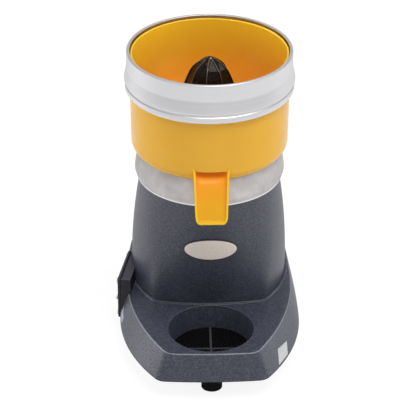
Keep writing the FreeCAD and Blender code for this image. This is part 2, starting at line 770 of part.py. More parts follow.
# ---------------------------------------------------------------- top tray
def make_tray():
    body = turned("tray_body", [
        ("spigot_bore", "tower_top"), ("tray_edge_radius", "tower_top"),
        ("tray_belly_radius", "tower_top + tray_bevel"),
        ("tray_rim_radius", "tray_top"), ("spigot_radius", "tray_top"),
        ("spigot_radius", "tray_top + spigot_up"), ("spigot_bore", "tray_top + spigot_up")],
        {2: "tray_belly_radius"})
    pocket = ring_of("tray_pocket", "tray_edge_radius - tray_wall",
                     "tray_screw_circle + bearing_radius + tray_head_radius + tray_wall / 2",
                     "tower_top - tray_wall", "tray_top - tray_wall")
    hub_room = rod("tray_hub_room", "bearing_radius + shield_wall + seat_clearance",
                   "tray_wall + seal_height", 0, 0, "tower_top - tray_wall")
    heads = [rod(f"tray_head_{i}", "tray_head_radius + seat_clearance", "tray_wall * 2", x, y,
                 "tray_top - tray_wall") for i, (x, y) in enumerate(tray_holes())]
    shanks = [rod(f"tray_pass_{i}", "tray_screw_radius + screw_clearance", "tray_height * 2",
                  x, y, "tower_top - tray_wall") for i, (x, y) in enumerate(tray_holes())]
    rooms = [rod(f"motor_head_room_{i}", "small_head_radius + seat_clearance",
                 "tray_wall + small_head_height + seat_clearance", x, y, "tower_top - tray_wall")
             for i, (x, y) in enumerate(motor_screw_places)]
    keep("top_tray", cut("top_tray", body, [pocket, hub_room] + heads + shanks + rooms))
    keep("tray_screws", group("tray_screws", [
        screw(f"tray_screw_{i}", x, y, "tray_top - tray_wall", "tray_screw_radius",
              "tray_head_radius", "tray_head_height", "tray_height - tray_wall + casting_wall",
              up=False) for i, (x, y) in enumerate(tray_holes())]))
    seal = ring_of("seal_body", "bearing_radius + shield_wall", "shaft_radius + shaft_clearance",
                   "tower_top", "tower_top + seal_height")
    keep("shaft_seal", seal)


# ---------------------------------------------------------------- bowl, ring, strainer and cone
def make_bowl():
    body = turned("bowl_body", [
        ("column_bore", "bowl_z"), ("bowl_foot_radius", "bowl_z"),
        ("bowl_low_radius", "bowl_z + bowl_low_up"),
        ("bowl_high_radius", "ring_z - bowl_shoulder_height"),
        ("bowl_shoulder_radius", "ring_z - bowl_shoulder_height / 2"),
        ("bowl_shoulder_radius", "ring_z"), ("bowl_high_radius", "ring_z"),
        ("bowl_lip_radius", "bowl_lip"), ("bowl_lip_radius - bowl_wall", "bowl_lip"),
        ("bowl_high_radius - bowl_wall", "ring_z"),
        ("bowl_low_radius - bowl_wall", "ledge_z"),
        ("bowl_low_radius - bowl_wall - strainer_ledge", "ledge_z"),
        ("bowl_low_radius - bowl_wall - strainer_ledge", "bowl_z + bowl_wall"),
        ("column_radius", "bowl_z + bowl_wall"), ("column_radius", "column_top"),
        ("column_bore", "column_top")], {1: "bowl_low_up * 1.3"})
    channel = side_pad("spout_solid", [
        ("-spout_root", "bowl_z + spout_mouth_up + spout_wall"),
        ("-spout_root", "bowl_z"),
        ("-spout_reach + spout_wall", "spout_lip_z"),
        ("-spout_reach - spout_lip_depth / 2", "spout_lip_z + spout_lip_depth")],
        "spout_half_width * 2")
    hollow = side_pad("spout_hollow", [
        ("-bowl_low_radius + bowl_wall + strainer_ledge * 2", "bowl_z + spout_mouth_up"),
        ("-bowl_low_radius + bowl_wall + strainer_ledge * 2", "bowl_z + bowl_wall"),
        ("-spout_root - spout_wall / 2", "bowl_z + bowl_wall / 2"),
        ("-spout_reach", "spout_lip_z - spout_wall"),
        ("-spout_reach - spout_lip_depth * 3", "spout_lip_z - spout_wall"),
        ("-spout_reach - spout_lip_depth * 3", "bowl_z + spout_mouth_up"),
        ("-spout_root - bowl_wall * 2", "bowl_z + spout_mouth_up")],
        "(spout_half_width - spout_wall) * 2")
    keep("bowl", cut("bowl", fuse("bowl_and_spout", [body, channel]), [hollow]))


def make_ring():
    inner_bulge = "ring_bulge_radius - ring_wall"
    keep("splash_ring", turned("splash_ring", [
        ("ring_seat_inner", "ring_z"), ("ring_foot_radius", "ring_z"),
        ("ring_crease_radius", "ring_z + ring_crease_up"),
        ("ring_bulge_radius", "ring_z + ring_bulge_up"),
        ("ring_rim_radius", "ring_z + ring_neck_up"),
        ("ring_rim_radius", "ring_top - ring_wall"),
        ("ring_rim_radius - ring_wall", "ring_top"),
        ("ring_rim_radius - ring_roll", "ring_top"),
        ("ring_rim_radius - ring_roll", "ring_top - ring_wall"),
        ("ring_rim_radius - ring_wall", "ring_top - ring_wall * 2"),
        ("ring_rim_radius - ring_wall", "ring_z + ring_neck_up"),
        (inner_bulge, "ring_z + ring_bulge_up"),
        ("ring_crease_radius - ring_wall", "ring_z + ring_crease_up + ring_wall"),
        ("ring_crease_radius - ring_wall", "ring_z + ring_wall"),
        ("ring_seat_inner", "ring_z + ring_wall")]))


def make_strainer():
    inner = "column_radius + column_clearance"
    rim = "bowl_low_radius - bowl_wall - column_clearance"
    body = turned("strainer_body", [
        (inner, "ledge_z"), (rim, "ledge_z"), (rim, "ledge_z + strainer_rim_up"),
        (f"{rim} - strainer_thickness", "ledge_z + strainer_rim_up"),
        (f"{rim} - strainer_thickness", "ledge_z + strainer_thickness"),
        (f"{inner} + strainer_thickness", "ledge_z + strainer_thickness"),
        (f"{inner} + strainer_thickness", "ledge_z + strainer_rim_up"),
        (inner, "ledge_z + strainer_rim_up")])
    slots = []
    for i in range(int(value("strainer_slots"))):
        slot = block(f"strainer_slot_{i}", "strainer_slot_outer - strainer_slot_inner",
                     "strainer_slot_width", "strainer_rim_up")
        angle = f"({i} * 360 / strainer_slots) * 1 deg"
        near, half = "strainer_slot_inner", "strainer_slot_width / 2"
        turn(slot, Vector(0, 0, 1), angle)
        put(slot, f"{near} * cos({angle}) + {half} * sin({angle})",
            f"{near} * sin({angle}) - {half} * cos({angle})", "ledge_z - strainer_rim_up / 2")
        slots.append(slot)
    keep("strainer", cut("strainer", body, slots))


def cone_section(shrink, low):
    """A full dome: its corners lie closer together towards the tip, where it curves most."""
    steps = 9
    corners = [("0", low)]
    for i in range(steps):
        left = (1 - i / steps) ** 2
        corners.append((f"(cone_radius - ({shrink})) * {left:.5f} ^ cone_fullness",
                        f"cone_tip - ({shrink}) - (cone_tip - ({low}) - ({shrink})) * {left:.5f}"))
    corners.append(("0", f"cone_tip - ({shrink})"))
    return corners


def make_cone():
    crest = turned("cone_crest", cone_section("0", "cone_z"))
    valley = turned("cone_valley", cone_section("cone_flute_depth", "cone_z"))
    spokes = []
    for i in range(int(value("cone_ribs"))):
        angle = f"({i} * 360 / cone_ribs) * 1 deg"
        spoke = block(f"cone_spoke_{i}", "cone_radius * 2", "cone_rib_width", "cone_tip - cone_z")
        turn(spoke, Vector(0, 0, 1), angle)
        put(spoke, f"cone_rib_width / 2 * sin({angle})", f"-cone_rib_width / 2 * cos({angle})",
            "cone_z")
        spokes.append(spoke)
    ribs = common("cone_ribs_all", [crest, fuse("cone_star", spokes)])
    hollow = turned("cone_hollow", cone_section("cone_flute_depth + cone_wall", "cone_z - 1"))
    hub = rod("cone_hub", "insert_radius + cone_hub_wall", "cone_tip - insert_z", 0, 0, "insert_z")
    room = cut("cone_room", hollow, [hub])
    shell = cut("cone_shell", fuse("cone_solid", [valley, ribs]), [room])
    bore = rod("cone_bore", "insert_radius + screw_clearance / 2", "insert_length",
               0, 0, "insert_z")
    keep("squeezing_cone", cut("squeezing_cone", shell, [bore]))
    sleeve = rod("insert_body", "insert_radius", "insert_length", 0, 0, "insert_z")
    hole = rod("insert_bore", "shaft_radius + shaft_clearance", "insert_length - shaft_top_gap / 2",
               0, 0, "insert_z")
    slot = block("insert_slot", "(insert_radius + 1) * 2", "(pin_radius + seat_clearance) * 2",
                 "pin_up + pin_radius + seat_clearance", 0, 0, "insert_z")
    keep("cone_insert", cut("cone_insert", sleeve, [hole, slot]))


# ---------------------------------------------------------------- motor and drive
def make_drive():
    shaft_low = "fan_z - fan_gap"
    shaft = rod("shaft_rod", "shaft_radius", f"shaft_top - ({shaft_low})", 0, 0, shaft_low)
    pin_hole = turn(rod("shaft_pin_hole", "pin_radius + screw_clearance / 2", "pin_length",
                        "-pin_length / 2", 0, "pin_z"), Vector(0, 1, 0), "90 deg")
    keep("drive_shaft", cut("drive_shaft", shaft, [pin_hole]))
    keep("drive_pin", turn(rod("drive_pin", "pin_radius", "pin_length", "-pin_length / 2", 0,
                               "pin_z"), Vector(0, 1, 0), "90 deg"))
    keep("rotor", ring_of("rotor", "rotor_radius", "shaft_radius + screw_clearance / 2",
                          "stator_z", "stator_top"))
    hub = ring_of("fan_core", "fan_hub", "shaft_radius + screw_clearance / 2", "fan_z", "fan_top")
    disc = ring_of("fan_disc", "fan_radius", "fan_hub - fan_blade", "fan_top - fan_blade", "fan_top")
    blades = []
    for i in range(int(value("fan_blades"))):
        angle = f"({i} * 360 / fan_blades) * 1 deg"
        blade = block(f"fan_blade_{i}", "fan_radius - fan_hub", "fan_blade", "fan_height")
        turn(blade, Vector(0, 0, 1), angle)
        put(blade, f"(fan_hub - fan_blade / 2) * cos({angle})",
            f"(fan_hub - fan_blade / 2) * sin({angle})", "fan_z")
        blades.append(blade)
    keep("cooling_fan", fuse("cooling_fan", [hub, disc] + blades))


def bearing(label, low):
    """A ball bearing, its rings and balls as one solid, since they stay together."""
    wide = "bearing_radius - shaft_radius"
    high = f"{low} + bearing_width"
    inner, outer = "shaft_radius + shaft_clearance", "bearing_radius - screw_clearance"
    keep(label, turned(label, [
        (inner, low), (f"shaft_radius + ({wide}) / 3", low),
        (f"shaft_radius + ({wide}) / 3", f"{low} + fan_blade / 2"),
        (f"bearing_radius - ({wide}) / 3", f"{low} + fan_blade / 2"),
        (f"bearing_radius - ({wide}) / 3", low), (outer, low), (outer, high), (inner, high)]))


def make_motor():
    stack = ring_of("stator_stack", "motor_radius", "rotor_radius + air_gap", "stator_z", "stator_top")
    slots = []
    for i in range(int(value("slot_count"))):
        angle = f"({i} * 360 / slot_count + 15) * 1 deg"
        slot = block(f"stator_slot_{i}", "slot_radius - rotor_radius", "slot_width",
                     "stator_length * 2")
        turn(slot, Vector(0, 0, 1), angle)
        near, half = "(rotor_radius + 2 * air_gap)", "slot_width / 2"
        put(slot, f"{near} * cos({angle}) + {half} * sin({angle})",
            f"{near} * sin({angle}) - {half} * cos({angle})", "stator_z - stator_length / 2")
        slots.append(slot)
    ties = [rod(f"tie_hole_{i}", "tie_radius + screw_clearance", "stator_length * 3", x, y,
                "stator_z - stator_length") for i, (x, y) in enumerate(tie_places)]
    keep("motor_stator", cut("motor_stator", stack, slots + ties))
    heads = [ring_of("winding_low", "winding_outer", "winding_inner", "stator_z - winding_height",
                     "stator_z"),
             ring_of("winding_high", "winding_outer", "winding_inner", "stator_top",
                     "stator_top + winding_height")]
    keep("stator_windings", group("stator_windings", heads))
    rim_in = "motor_radius - shield_wall"
    hub_out = "bearing_radius + shield_wall"
    upper = turned("upper_shield_body", [
        ("bearing_radius", "upper_web_z - bearing_width / 2"), (hub_out, "upper_web_z - bearing_width / 2"),
        (hub_out, "upper_web_z"), (rim_in, "upper_web_z"), (rim_in, "stator_top"),
        ("motor_radius", "stator_top"), ("motor_radius", "ceiling_z"), (hub_out, "ceiling_z"),
        (hub_out, "tower_top"), ("shaft_radius + air_gap", "tower_top"),
        ("shaft_radius + air_gap", "upper_web_z + bearing_width / 2"),
        ("bearing_radius", "upper_web_z + bearing_width / 2")])
    pads = [rod(f"tie_pad_{i}", "tie_radius * 2.2", "ceiling_z - stator_top", x, y, "stator_top")
            for i, (x, y) in enumerate(tie_places)]
    holes = [rod(f"upper_tie_{i}", "tie_radius + screw_clearance", "screw_depth", x, y, "stator_top")
             for i, (x, y) in enumerate(tie_places)]
    holes += [small_hole(f"upper_thread_{i}", x, y, "upper_web_z - casting_wall", "casting_wall * 4")
              for i, (x, y) in enumerate(motor_screw_places)]
    keep("upper_end_shield", cut("upper_end_shield", fuse("upper_shield", [upper] + pads), holes))
    bearing("upper_bearing", "upper_web_z - bearing_width / 2")
    web_top = "lower_shield_z + shield_web"
    lower = turned("lower_shield_body", [
        ("shaft_radius + air_gap", "lower_shield_z"), ("motor_radius", "lower_shield_z"),
        ("motor_radius", "stator_z"), (rim_in, "stator_z"), (rim_in, web_top), (hub_out, web_top),
        (hub_out, f"{web_top} + bearing_width / 2"), ("bearing_radius", f"{web_top} + bearing_width / 2"),
        ("bearing_radius", f"{web_top} - bearing_width / 2"),
        ("shaft_radius + air_gap", f"{web_top} - bearing_width / 2")])
    low_pads = [rod(f"low_pad_{i}", "tie_radius * 2.2", "stator_z - lower_shield_z", x, y,
                    "lower_shield_z") for i, (x, y) in enumerate(tie_places)]
    low_holes = [rod(f"lower_tie_{i}", "tie_radius + screw_clearance", "stator_length", x, y,
                     "lower_shield_z - casting_wall") for i, (x, y) in enumerate(tie_places)]
    keep("lower_end_shield", cut("lower_end_shield", fuse("lower_shield", [lower] + low_pads),
                                 low_holes))
    bearing("lower_bearing", f"{web_top} - bearing_width / 2")
    keep("motor_tie_bolts", group("motor_tie_bolts", [
        screw(f"tie_bolt_{i}", x, y, "lower_shield_z", "tie_radius", "tie_radius * 2",
              "small_head_height", "stator_top - lower_shield_z + screw_depth - 2")
        for i, (x, y) in enumerate(tie_places)]))
    keep("motor_screws", group("motor_screws", [
        small_screw(f"motor_screw_{i}", x, y, "tower_top", "casting_wall + shield_web", up=False)
        for i, (x, y) in enumerate(motor_screw_places)]))


# ---------------------------------------------------------------- electrical pieces
def make_electrics():
    axis_z = "plate_top + capacitor_radius + clamp_thickness + seat_clearance"
    can = turn(rod("capacitor_can", "capacitor_radius", "capacitor_length",
                   "-capacitor_length / 2", "capacitor_y", axis_z), Vector(0, 1, 0), "90 deg")
    keep("capacitor", can)
    wide = turn(rod("clamp_outer", "capacitor_radius + clamp_thickness + seat_clearance",
                    "clamp_width", "-clamp_width / 2", "capacitor_y", axis_z),
                Vector(0, 1, 0), "90 deg")
    base = block("clamp_foot", "clamp_width", "(capacitor_radius + clamp_thickness) * 3",
                 "clamp_thickness", 0, "capacitor_y", "plate_top")
    bore = turn(rod("clamp_bore", "capacitor_radius + screw_clearance", "clamp_width * 2",
                    "-clamp_width", "capacitor_y", axis_z), Vector(0, 1, 0), "90 deg")
    keep("capacitor_clamp", cut("capacitor_clamp", fuse("clamp_strap", [wide, base]), [bore]))
    base = block("terminal_body", "terminal_length", "terminal_width", "terminal_height",
                 "terminal_x", "terminal_y", "plate_top")
    wells = [rod(f"terminal_well_{i}", "terminal_width / 6", "terminal_height", 
                 f"terminal_x + ({i} - 1) * terminal_length / 3", "terminal_y",
                 "plate_top + terminal_height / 2") for i in range(3)]
    keep("terminal_block", cut("terminal_block", base, wells))


def make_gland():
    """The cord enters through the skirt's rear wall; the wall's faces lean, so both ends are faced."""
    head = along_y("gland_head", "gland_head", "gland_head_length + skirt_end_lean", "gland_x",
                   "base_rear - skirt_end_lean - gland_radius / 4", "gland_z")
    thread = along_y("gland_thread", "gland_radius", "casting_wall * 5", "gland_x",
                     "base_rear - casting_wall * 5", "gland_z")
    bore = along_y("gland_bore", "gland_bore", "base_rear", "gland_x", "base_rear / 2", "gland_z")
    seat = form("gland_seat", base_form(value("seat_clearance")))
    collar = cut("gland_collar", head, [seat])
    keep("cable_gland", cut("cable_gland", fuse("gland_solid", [collar, thread]), [bore]))
    nut_y = "base_rear - skirt_end_lean - casting_wall - gland_nut_length"
    nut = along_y("gland_nut_body", "gland_nut_radius", "gland_nut_length", "gland_x", nut_y,
                  "gland_z")
    nut_bore = along_y("gland_nut_bore", "gland_radius + shaft_clearance", "gland_nut_length * 2",
                       "gland_x", f"{nut_y} - gland_nut_length / 2", "gland_z")
    keep("gland_nut", cut("gland_nut", nut, [nut_bore]))


def across(name, radius, depth, x, y, z):
    """A cylinder across the switch cover, from x inwards."""
    thing = switch_place(rod(name, radius, depth), x, y, z)
    thing.setExpression("Placement.Rotation.Angle", None)
    thing.Placement.Rotation = (Rotation(Vector(0, 0, 1), -value("switch_yaw"))
                                * Rotation(Vector(0, 1, 0), 90))
    return thing


def make_switch():
    """Cover, gasket and box stand in a pocket of the casting, turned in towards the rear."""
    ends = (-1, 1)
    places_on_cover = [(f"{u} * (switch_length / 2 - cover_screw_inset)",
                        f"switch_mid + {w} * (switch_tall / 2 - cover_screw_inset)")
                       for u in ends for w in ends]

    def screw_holes(tag):
        return [across(f"{tag}_{i}", "small_screw_radius + screw_clearance",
                       "box_face + switch_box_depth", "-seat_clearance", y, z)
                for i, (y, z) in enumerate(places_on_cover)]

    frame_long = "(rocker_width + bezel_width * 2)"
    frame_tall = "(rocker_swing_radius * 2 + bezel_width * 2)"
    window = switch_block("cover_window", "box_face * 2", f"{frame_long} + seat_clearance",
                          f"{frame_tall} + seat_clearance", "-seat_clearance", "rocker_along",
                          f"switch_mid - ({frame_tall} + seat_clearance) / 2")
    plate = switch_block("cover_plate", "switch_cover_thickness", "switch_length", "switch_tall",
                         0, 0, "switch_bottom")
    keep("switch_cover", cut("switch_cover", plate, [window] + screw_holes("cover_hole")))
    pad = switch_block("gasket_sheet", "switch_gasket", "switch_length - switch_gasket_inset * 2",
                       "switch_tall - switch_gasket_inset * 2", "switch_cover_thickness", 0,
                       "switch_bottom + switch_gasket_inset")
    keep("switch_gasket", cut("switch_gasket", pad, [window] + screw_holes("gasket_hole")))
    solid = switch_block("box_solid", "switch_box_depth", "switch_length", "switch_tall",
                         "box_face", 0, "switch_bottom")
    room = switch_block("box_room", "switch_box_depth", "switch_length - cover_screw_inset * 3",
                        "switch_tall - switch_wall * 2", "box_face - switch_wall", 0,
                        "switch_bottom + switch_wall")
    wire_hole = across("box_wire_hole", "wire_hole_radius", "switch_box_depth", "box_face", 0,
                       "switch_mid - rocker_swing_radius")
    tower = form("switch_tower_form", tower_form(value("seat_clearance")))
    keep("switch_box", cut("switch_box", solid, [room, tower, wire_hole] + screw_holes("box_hole")))
    frame = switch_block("module_solid", "bezel_rise + rocker_back + module_depth - bezel_width",
                         frame_long, frame_tall, "-bezel_rise", "rocker_along",
                         f"switch_mid - {frame_tall} / 2")
    mouth = switch_block("module_mouth", "bezel_rise * 2 + rocker_back + rocker_gap * 4",
                         "rocker_width + rocker_gap * 2",
                         "(rocker_swing_radius + rocker_gap) * 2", "-bezel_rise * 2",
                         "rocker_along", "switch_mid - rocker_swing_radius - rocker_gap")
    keep("switch_module", cut("switch_module", frame, [mouth]))
    front, back = "-(rocker_pivot + rocker_rise)", "(rocker_back - rocker_pivot)"
    front_end = f"sqrt(rocker_swing_radius ^ 2 - {front} ^ 2)"
    back_end = f"sqrt(rocker_swing_radius ^ 2 - {back} ^ 2)"
    paddle = side_pad("rocker_solid", [
        (front, f"-{front_end}"), (back, f"-{back_end}"), (back, back_end), (front, front_end),
        (f"{front} + rocker_dip", "0")], "rocker_width",
        {0: "rocker_swing_radius", 2: "rocker_swing_radius"})
    switch_place(paddle, "rocker_pivot", "rocker_along", "switch_mid")
    paddle.setExpression("Placement.Rotation.Angle", None)
    paddle.Placement.Rotation = (Rotation(Vector(0, 0, 1), -90 - value("switch_yaw"))
                                 * Rotation(Vector(1, 0, 0), -value("rocker_tilt")))
    keep("switch_rocker", paddle)
    keep("switch_cover_screws", group("switch_cover_screws", [
        fuse(f"cover_screw_{i}", [
            across(f"cover_head_{i}", "small_head_radius", "small_head_height / 2",
                   "-small_head_height / 2", y, z),
            across(f"cover_shank_{i}", "small_screw_radius", "box_face + switch_gasket", 0, y, z)])
        for i, (y, z) in enumerate(places_on_cover)]))


make_base()
make_tower()
make_bottom_plate()
make_feet()
make_grid()
make_trim()
make_tray()
make_bowl()
make_ring()
make_strainer()
make_cone()
make_drive()
make_motor()
make_electrics()
make_gland()
make_switch()
doc.recompute()

# ---------------------------------------------------------------- checks and files
for thing in doc.Objects:
    if "Invalid" in thing.State or "Error" in thing.State:
        raise RuntimeError(f"{thing.Name} ({thing.Label}) failed: {thing.State}")
os.makedirs("parts", exist_ok=True)
for label, thing in nodes.items():
    if thing.Shape.isNull() or not thing.Shape.isValid() or not thing.Shape.Solids:
        raise RuntimeError(f"{label} has no valid shape")
    thing.Shape.exportStep(f"parts/{label}.step")
    print(f"{label:22s} {len(thing.Shape.Solids):3d} solids {thing.Shape.Volume:12.1f} mm3")
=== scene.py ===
"""Citrus press juicer: the look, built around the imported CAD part.

Shapes are given in millimetres and become metres in add_mesh; MM converts elsewhere.
"""

import json
import math

import bmesh
import bpy
from mathutils import Matrix, Vector

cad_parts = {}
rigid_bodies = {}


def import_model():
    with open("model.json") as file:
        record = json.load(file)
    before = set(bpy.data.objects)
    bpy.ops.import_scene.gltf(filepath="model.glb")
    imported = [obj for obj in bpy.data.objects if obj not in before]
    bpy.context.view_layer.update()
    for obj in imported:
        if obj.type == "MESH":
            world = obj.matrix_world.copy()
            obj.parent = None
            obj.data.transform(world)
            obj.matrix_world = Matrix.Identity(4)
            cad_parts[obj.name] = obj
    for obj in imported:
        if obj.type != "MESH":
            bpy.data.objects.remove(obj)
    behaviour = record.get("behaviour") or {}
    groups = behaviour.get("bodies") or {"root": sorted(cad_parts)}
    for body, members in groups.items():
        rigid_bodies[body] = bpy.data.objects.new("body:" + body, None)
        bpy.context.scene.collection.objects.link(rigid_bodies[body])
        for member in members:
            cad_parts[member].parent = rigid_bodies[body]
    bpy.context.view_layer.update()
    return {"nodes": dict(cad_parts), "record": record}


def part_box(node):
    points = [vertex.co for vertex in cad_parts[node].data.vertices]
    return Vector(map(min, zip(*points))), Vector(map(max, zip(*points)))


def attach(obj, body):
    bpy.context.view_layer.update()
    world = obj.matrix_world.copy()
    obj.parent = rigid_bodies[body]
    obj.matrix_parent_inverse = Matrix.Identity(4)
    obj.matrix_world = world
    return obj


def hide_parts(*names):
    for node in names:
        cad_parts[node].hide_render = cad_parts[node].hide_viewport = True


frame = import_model()

MM = 0.001
scene = bpy.context.scene


# ---------------------------------------------------------------- materials
def srgb(r, g, b):
    """Linear colour from 8-bit sRGB numbers."""
    def lin(c):
        c /= 255
        return c / 12.92 if c <= 0.04045 else ((c + 0.055) / 1.055) ** 2.4
    return (lin(r), lin(g), lin(b), 1.0)


def level(number):
    """A plain number as a ramp colour."""
    return (number, number, number, 1)


class Tree:
    """A material's node tree, with short calls for the nodes used here."""

    def __init__(self, name):
        self.mat = bpy.data.materials.new(name)
        self.mat.use_nodes = True
        self.tree = self.mat.node_tree
        self.shader = self.tree.nodes["Principled BSDF"]
        self.out = self.tree.nodes["Material Output"]
        self.where = self.node("ShaderNodeTexCoord").outputs["Object"]

    def node(self, kind, **values):
        made = self.tree.nodes.new(kind)
        for key, value in values.items():
            setattr(made, key, value)
        return made

    def link(self, a, b):
        self.tree.links.new(a, b)

    def put(self, value, socket):
        """Links a socket, or sets a number or colour."""
        if isinstance(value, bpy.types.NodeSocket):
            self.link(value, socket)
        else:
            socket.default_value = value

    def feed(self, made, **inputs):
        """Fills a node's inputs by name, with _ for a space."""
        for key, value in inputs.items():
            self.put(value, made.inputs[key.replace("_", " ")])
        return made

    def noise(self, scale, detail=2.0, rough=0.5, stretch=None):
        vector = self.where
        if stretch:
            move = self.feed(self.node("ShaderNodeMapping"), Vector=vector, Scale=stretch)
            vector = move.outputs["Vector"]
        made = self.node("ShaderNodeTexNoise")
        self.feed(made, Vector=vector, Scale=scale, Detail=detail, Roughness=rough)
        return made.outputs["Fac"]

    def ramp(self, fac, *stops):
        made = self.feed(self.node("ShaderNodeValToRGB"), Fac=fac)
        elements = made.color_ramp.elements
        while len(elements) < len(stops):
            elements.new(0.5)
        for element, (at, colour) in zip(elements, stops):
            element.position = at
            element.color = colour
        return made.outputs["Color"]

    def blend(self, share, a, b):
        """Colour a where share is 0 and b where it is 1."""
        made = self.node("ShaderNodeMix", data_type="RGBA")
        return self.feed(made, Factor=share, A=a, B=b).outputs["Result"]

    def math(self, operation, *values):
        made = self.node("ShaderNodeMath", operation=operation)
        for value, socket in zip(values, made.inputs):
            self.put(value, socket)
        return made.outputs[0]

    def along(self, axis, vector=None):
        """One coordinate of a vector, or of the place on the piece."""
        made = self.node("ShaderNodeSeparateXYZ")
        self.link(vector or self.where, made.inputs[0])
        return made.outputs[axis]

    def span(self, value, low, high, start, end):
        """Carries low...high over to start...end, and stays there outside it."""
        made = self.node("ShaderNodeMapRange", clamp=True)
        self.feed(made, Value=value, From_Min=low, From_Max=high, To_Min=start, To_Max=end)
        return made.outputs["Result"]

    def mark(self, name):
        """A number stored on the vertices."""
        return self.node("ShaderNodeAttribute", attribute_name=name).outputs["Fac"]

    def normal(self):
        return self.node("ShaderNodeNewGeometry").outputs["Normal"]

    def edges(self, radius, sharp, flat, strength):
        """A rounded normal, and a mask that is strong on edges and 0 on flat places."""
        soft = self.feed(self.node("ShaderNodeBevel", samples=6), Radius=radius).outputs[0]
        same = self.node("ShaderNodeVectorMath", operation="DOT_PRODUCT")
        self.link(soft, same.inputs[0])
        self.link(self.normal(), same.inputs[1])
        return soft, self.ramp(same.outputs["Value"], (sharp, level(strength)), (flat, level(0)))

    def bump(self, height, strength, distance, normal=None):
        made = self.node("ShaderNodeBump")
        self.feed(made, Height=height, Strength=strength, Distance=distance)
        if normal:
            self.link(normal, made.inputs["Normal"])
        return made.outputs["Normal"]

    def surface(self, **inputs):
        """Sets the shader's inputs and gives the finished material."""
        self.feed(self.shader, **inputs)
        return self.mat


def grained(name, low, high, metallic=0.0, rough=0.5, scale=900.0, bump=0.1, stretch=None,
            ior=1.5):
    """A surface whose colour wanders between two tones, with a fine bump."""
    t = Tree(name)
    fac = t.noise(scale, 2, 0.55, stretch)
    return t.surface(Base_Color=t.ramp(fac, (0.35, low), (0.65, high)), Metallic=metallic,
                     Roughness=rough, IOR=ior, Normal=t.bump(fac, bump, 0.0003))


def hammer_paint():
    """Graphite paint with a fine orange-peel texture and pale specks, painted highlights on the
    edges and the deck fillet, and painted shade on the recess floor.
    """
    t = Tree("hammer_paint")
    fine = t.noise(520, 3, 0.65)
    cells = t.noise(260)
    tone = t.ramp(fine, (0.32, srgb(41, 44, 57)), (0.5, srgb(56, 59, 73)), (0.68, srgb(80, 83, 98)))
    # painted highlight: lighter on every edge, where the rounded normal turns away from the face
    soft, edge_highlight = t.edges(1.3 * MM, 0.72, 0.97, 0.75)
    tone = t.blend(edge_highlight, tone, srgb(118, 121, 132))
    # painted highlight on the sloping fillet between deck and flank, picked out by the normal's
    # slope
    off, on = level(0), level(0.7)
    fillet_highlight = t.ramp(t.along("Z", t.normal()), (0.56, off), (0.68, on), (0.88, on), (0.96, off))
    tone = t.blend(fillet_highlight, tone, srgb(130, 135, 148))
    # painted shade: the casting turns near black on the recess floor, at the drip grid's lowest
    # level
    recess_floor_shade = t.math("COMPARE", t.along("Z"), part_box("drip_grid")[0][2], 0.5 * MM)
    tone = t.blend(recess_floor_shade, tone, srgb(8, 8, 10))
    skin = t.bump(fine, 0.45, 0.0004, t.bump(cells, 0.25, 0.0005, soft))
    return t.surface(Base_Color=tone, Roughness=0.4, IOR=1.62, Normal=skin)


def sand_cast():
    """Aluminium as cast: mottled grey with a grainy skin and a painted highlight on its lower edge.
    """
    t = Tree("sand_cast")
    broad = t.noise(55, 4, 0.6)
    fine = t.noise(1400, 3, 0.6)
    tone = t.ramp(broad, (0.3, srgb(196, 192, 192)), (0.55, srgb(210, 206, 206)),
                  (0.75, srgb(224, 221, 221)))
    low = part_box("top_tray")[0][2]
    # painted highlight: near white over the tray's lowest couple of millimetres
    turned = t.span(t.along("Z"), low + 1.4 * MM, low + 2.6 * MM, 1.0, 0.0)
    tone = t.blend(turned, tone, srgb(252, 250, 250))
    return t.surface(Base_Color=tone, Metallic=0.6, Roughness=0.55,
                     Normal=t.bump(fine, 0.3, 0.0004, t.bump(broad, 0.12, 0.001)))


def spun_aluminium():
    """Satin aluminium with faint turning lines round its axis."""
    t = Tree("spun_aluminium")
    lines = t.noise(1.0, 3, 0.7, stretch=(6, 6, 2600))
    return t.surface(
        Base_Color=t.ramp(lines, (0.3, srgb(230, 229, 231)), (0.7, srgb(238, 237, 240))),
        Metallic=1.0, Roughness=t.ramp(t.noise(30), (0.3, level(0.42)), (0.7, level(0.48))),
        Normal=t.bump(lines, 0.02, 0.0002))


def amber_plastic():
    """Glossy amber plastic, paler yellow at its thin edges as painted light, with painted shade
    and a painted glow making it orange where it is deep.
    """
    t = Tree("amber_plastic")
    tone = t.ramp(t.noise(14), (0.3, srgb(230, 172, 34)), (0.7, srgb(236, 182, 46)))
    # painted light: paler yellow where the rim mark is set, for light passing through thin edges
    tone = t.blend(t.mark("rim"), tone, srgb(248, 200, 44))
    # painted shade and painted glow: the shade mark deepens the colour to orange and drives the
    # emission
    shade = t.mark("shade")
    return t.surface(
        Base_Color=t.blend(shade, tone, srgb(214, 112, 34)),
        Emission_Color=srgb(236, 136, 44), Emission_Strength=t.math("MULTIPLY", shade, 0.44),
        Specular_IOR_Level=t.span(t.mark("calm"), 0, 1, 0.5, 0.16), Roughness=0.2, IOR=1.46,
        Subsurface_Weight=0.3, Subsurface_Radius=(0.7, 0.5, 0.1), Subsurface_Scale=0.005)


def black_gloss():
    """Polished near-black with a warm cast, partly a painted reflection of the amber bowl, and a
    painted highlight line on each rib.
    """
    t = Tree("cone_plastic")
    # warm tint: partly a painted reflection of the amber bowl
    tone = t.ramp(t.noise(300), (0.3, srgb(9, 6, 5)), (0.7, srgb(20, 12, 9)))
    # painted highlight: paler along the ribs where the rim mark is set
    return t.surface(Base_Color=t.blend(t.mark("rim"), tone, srgb(78, 66, 58)), Roughness=0.05,
                     IOR=1.2)


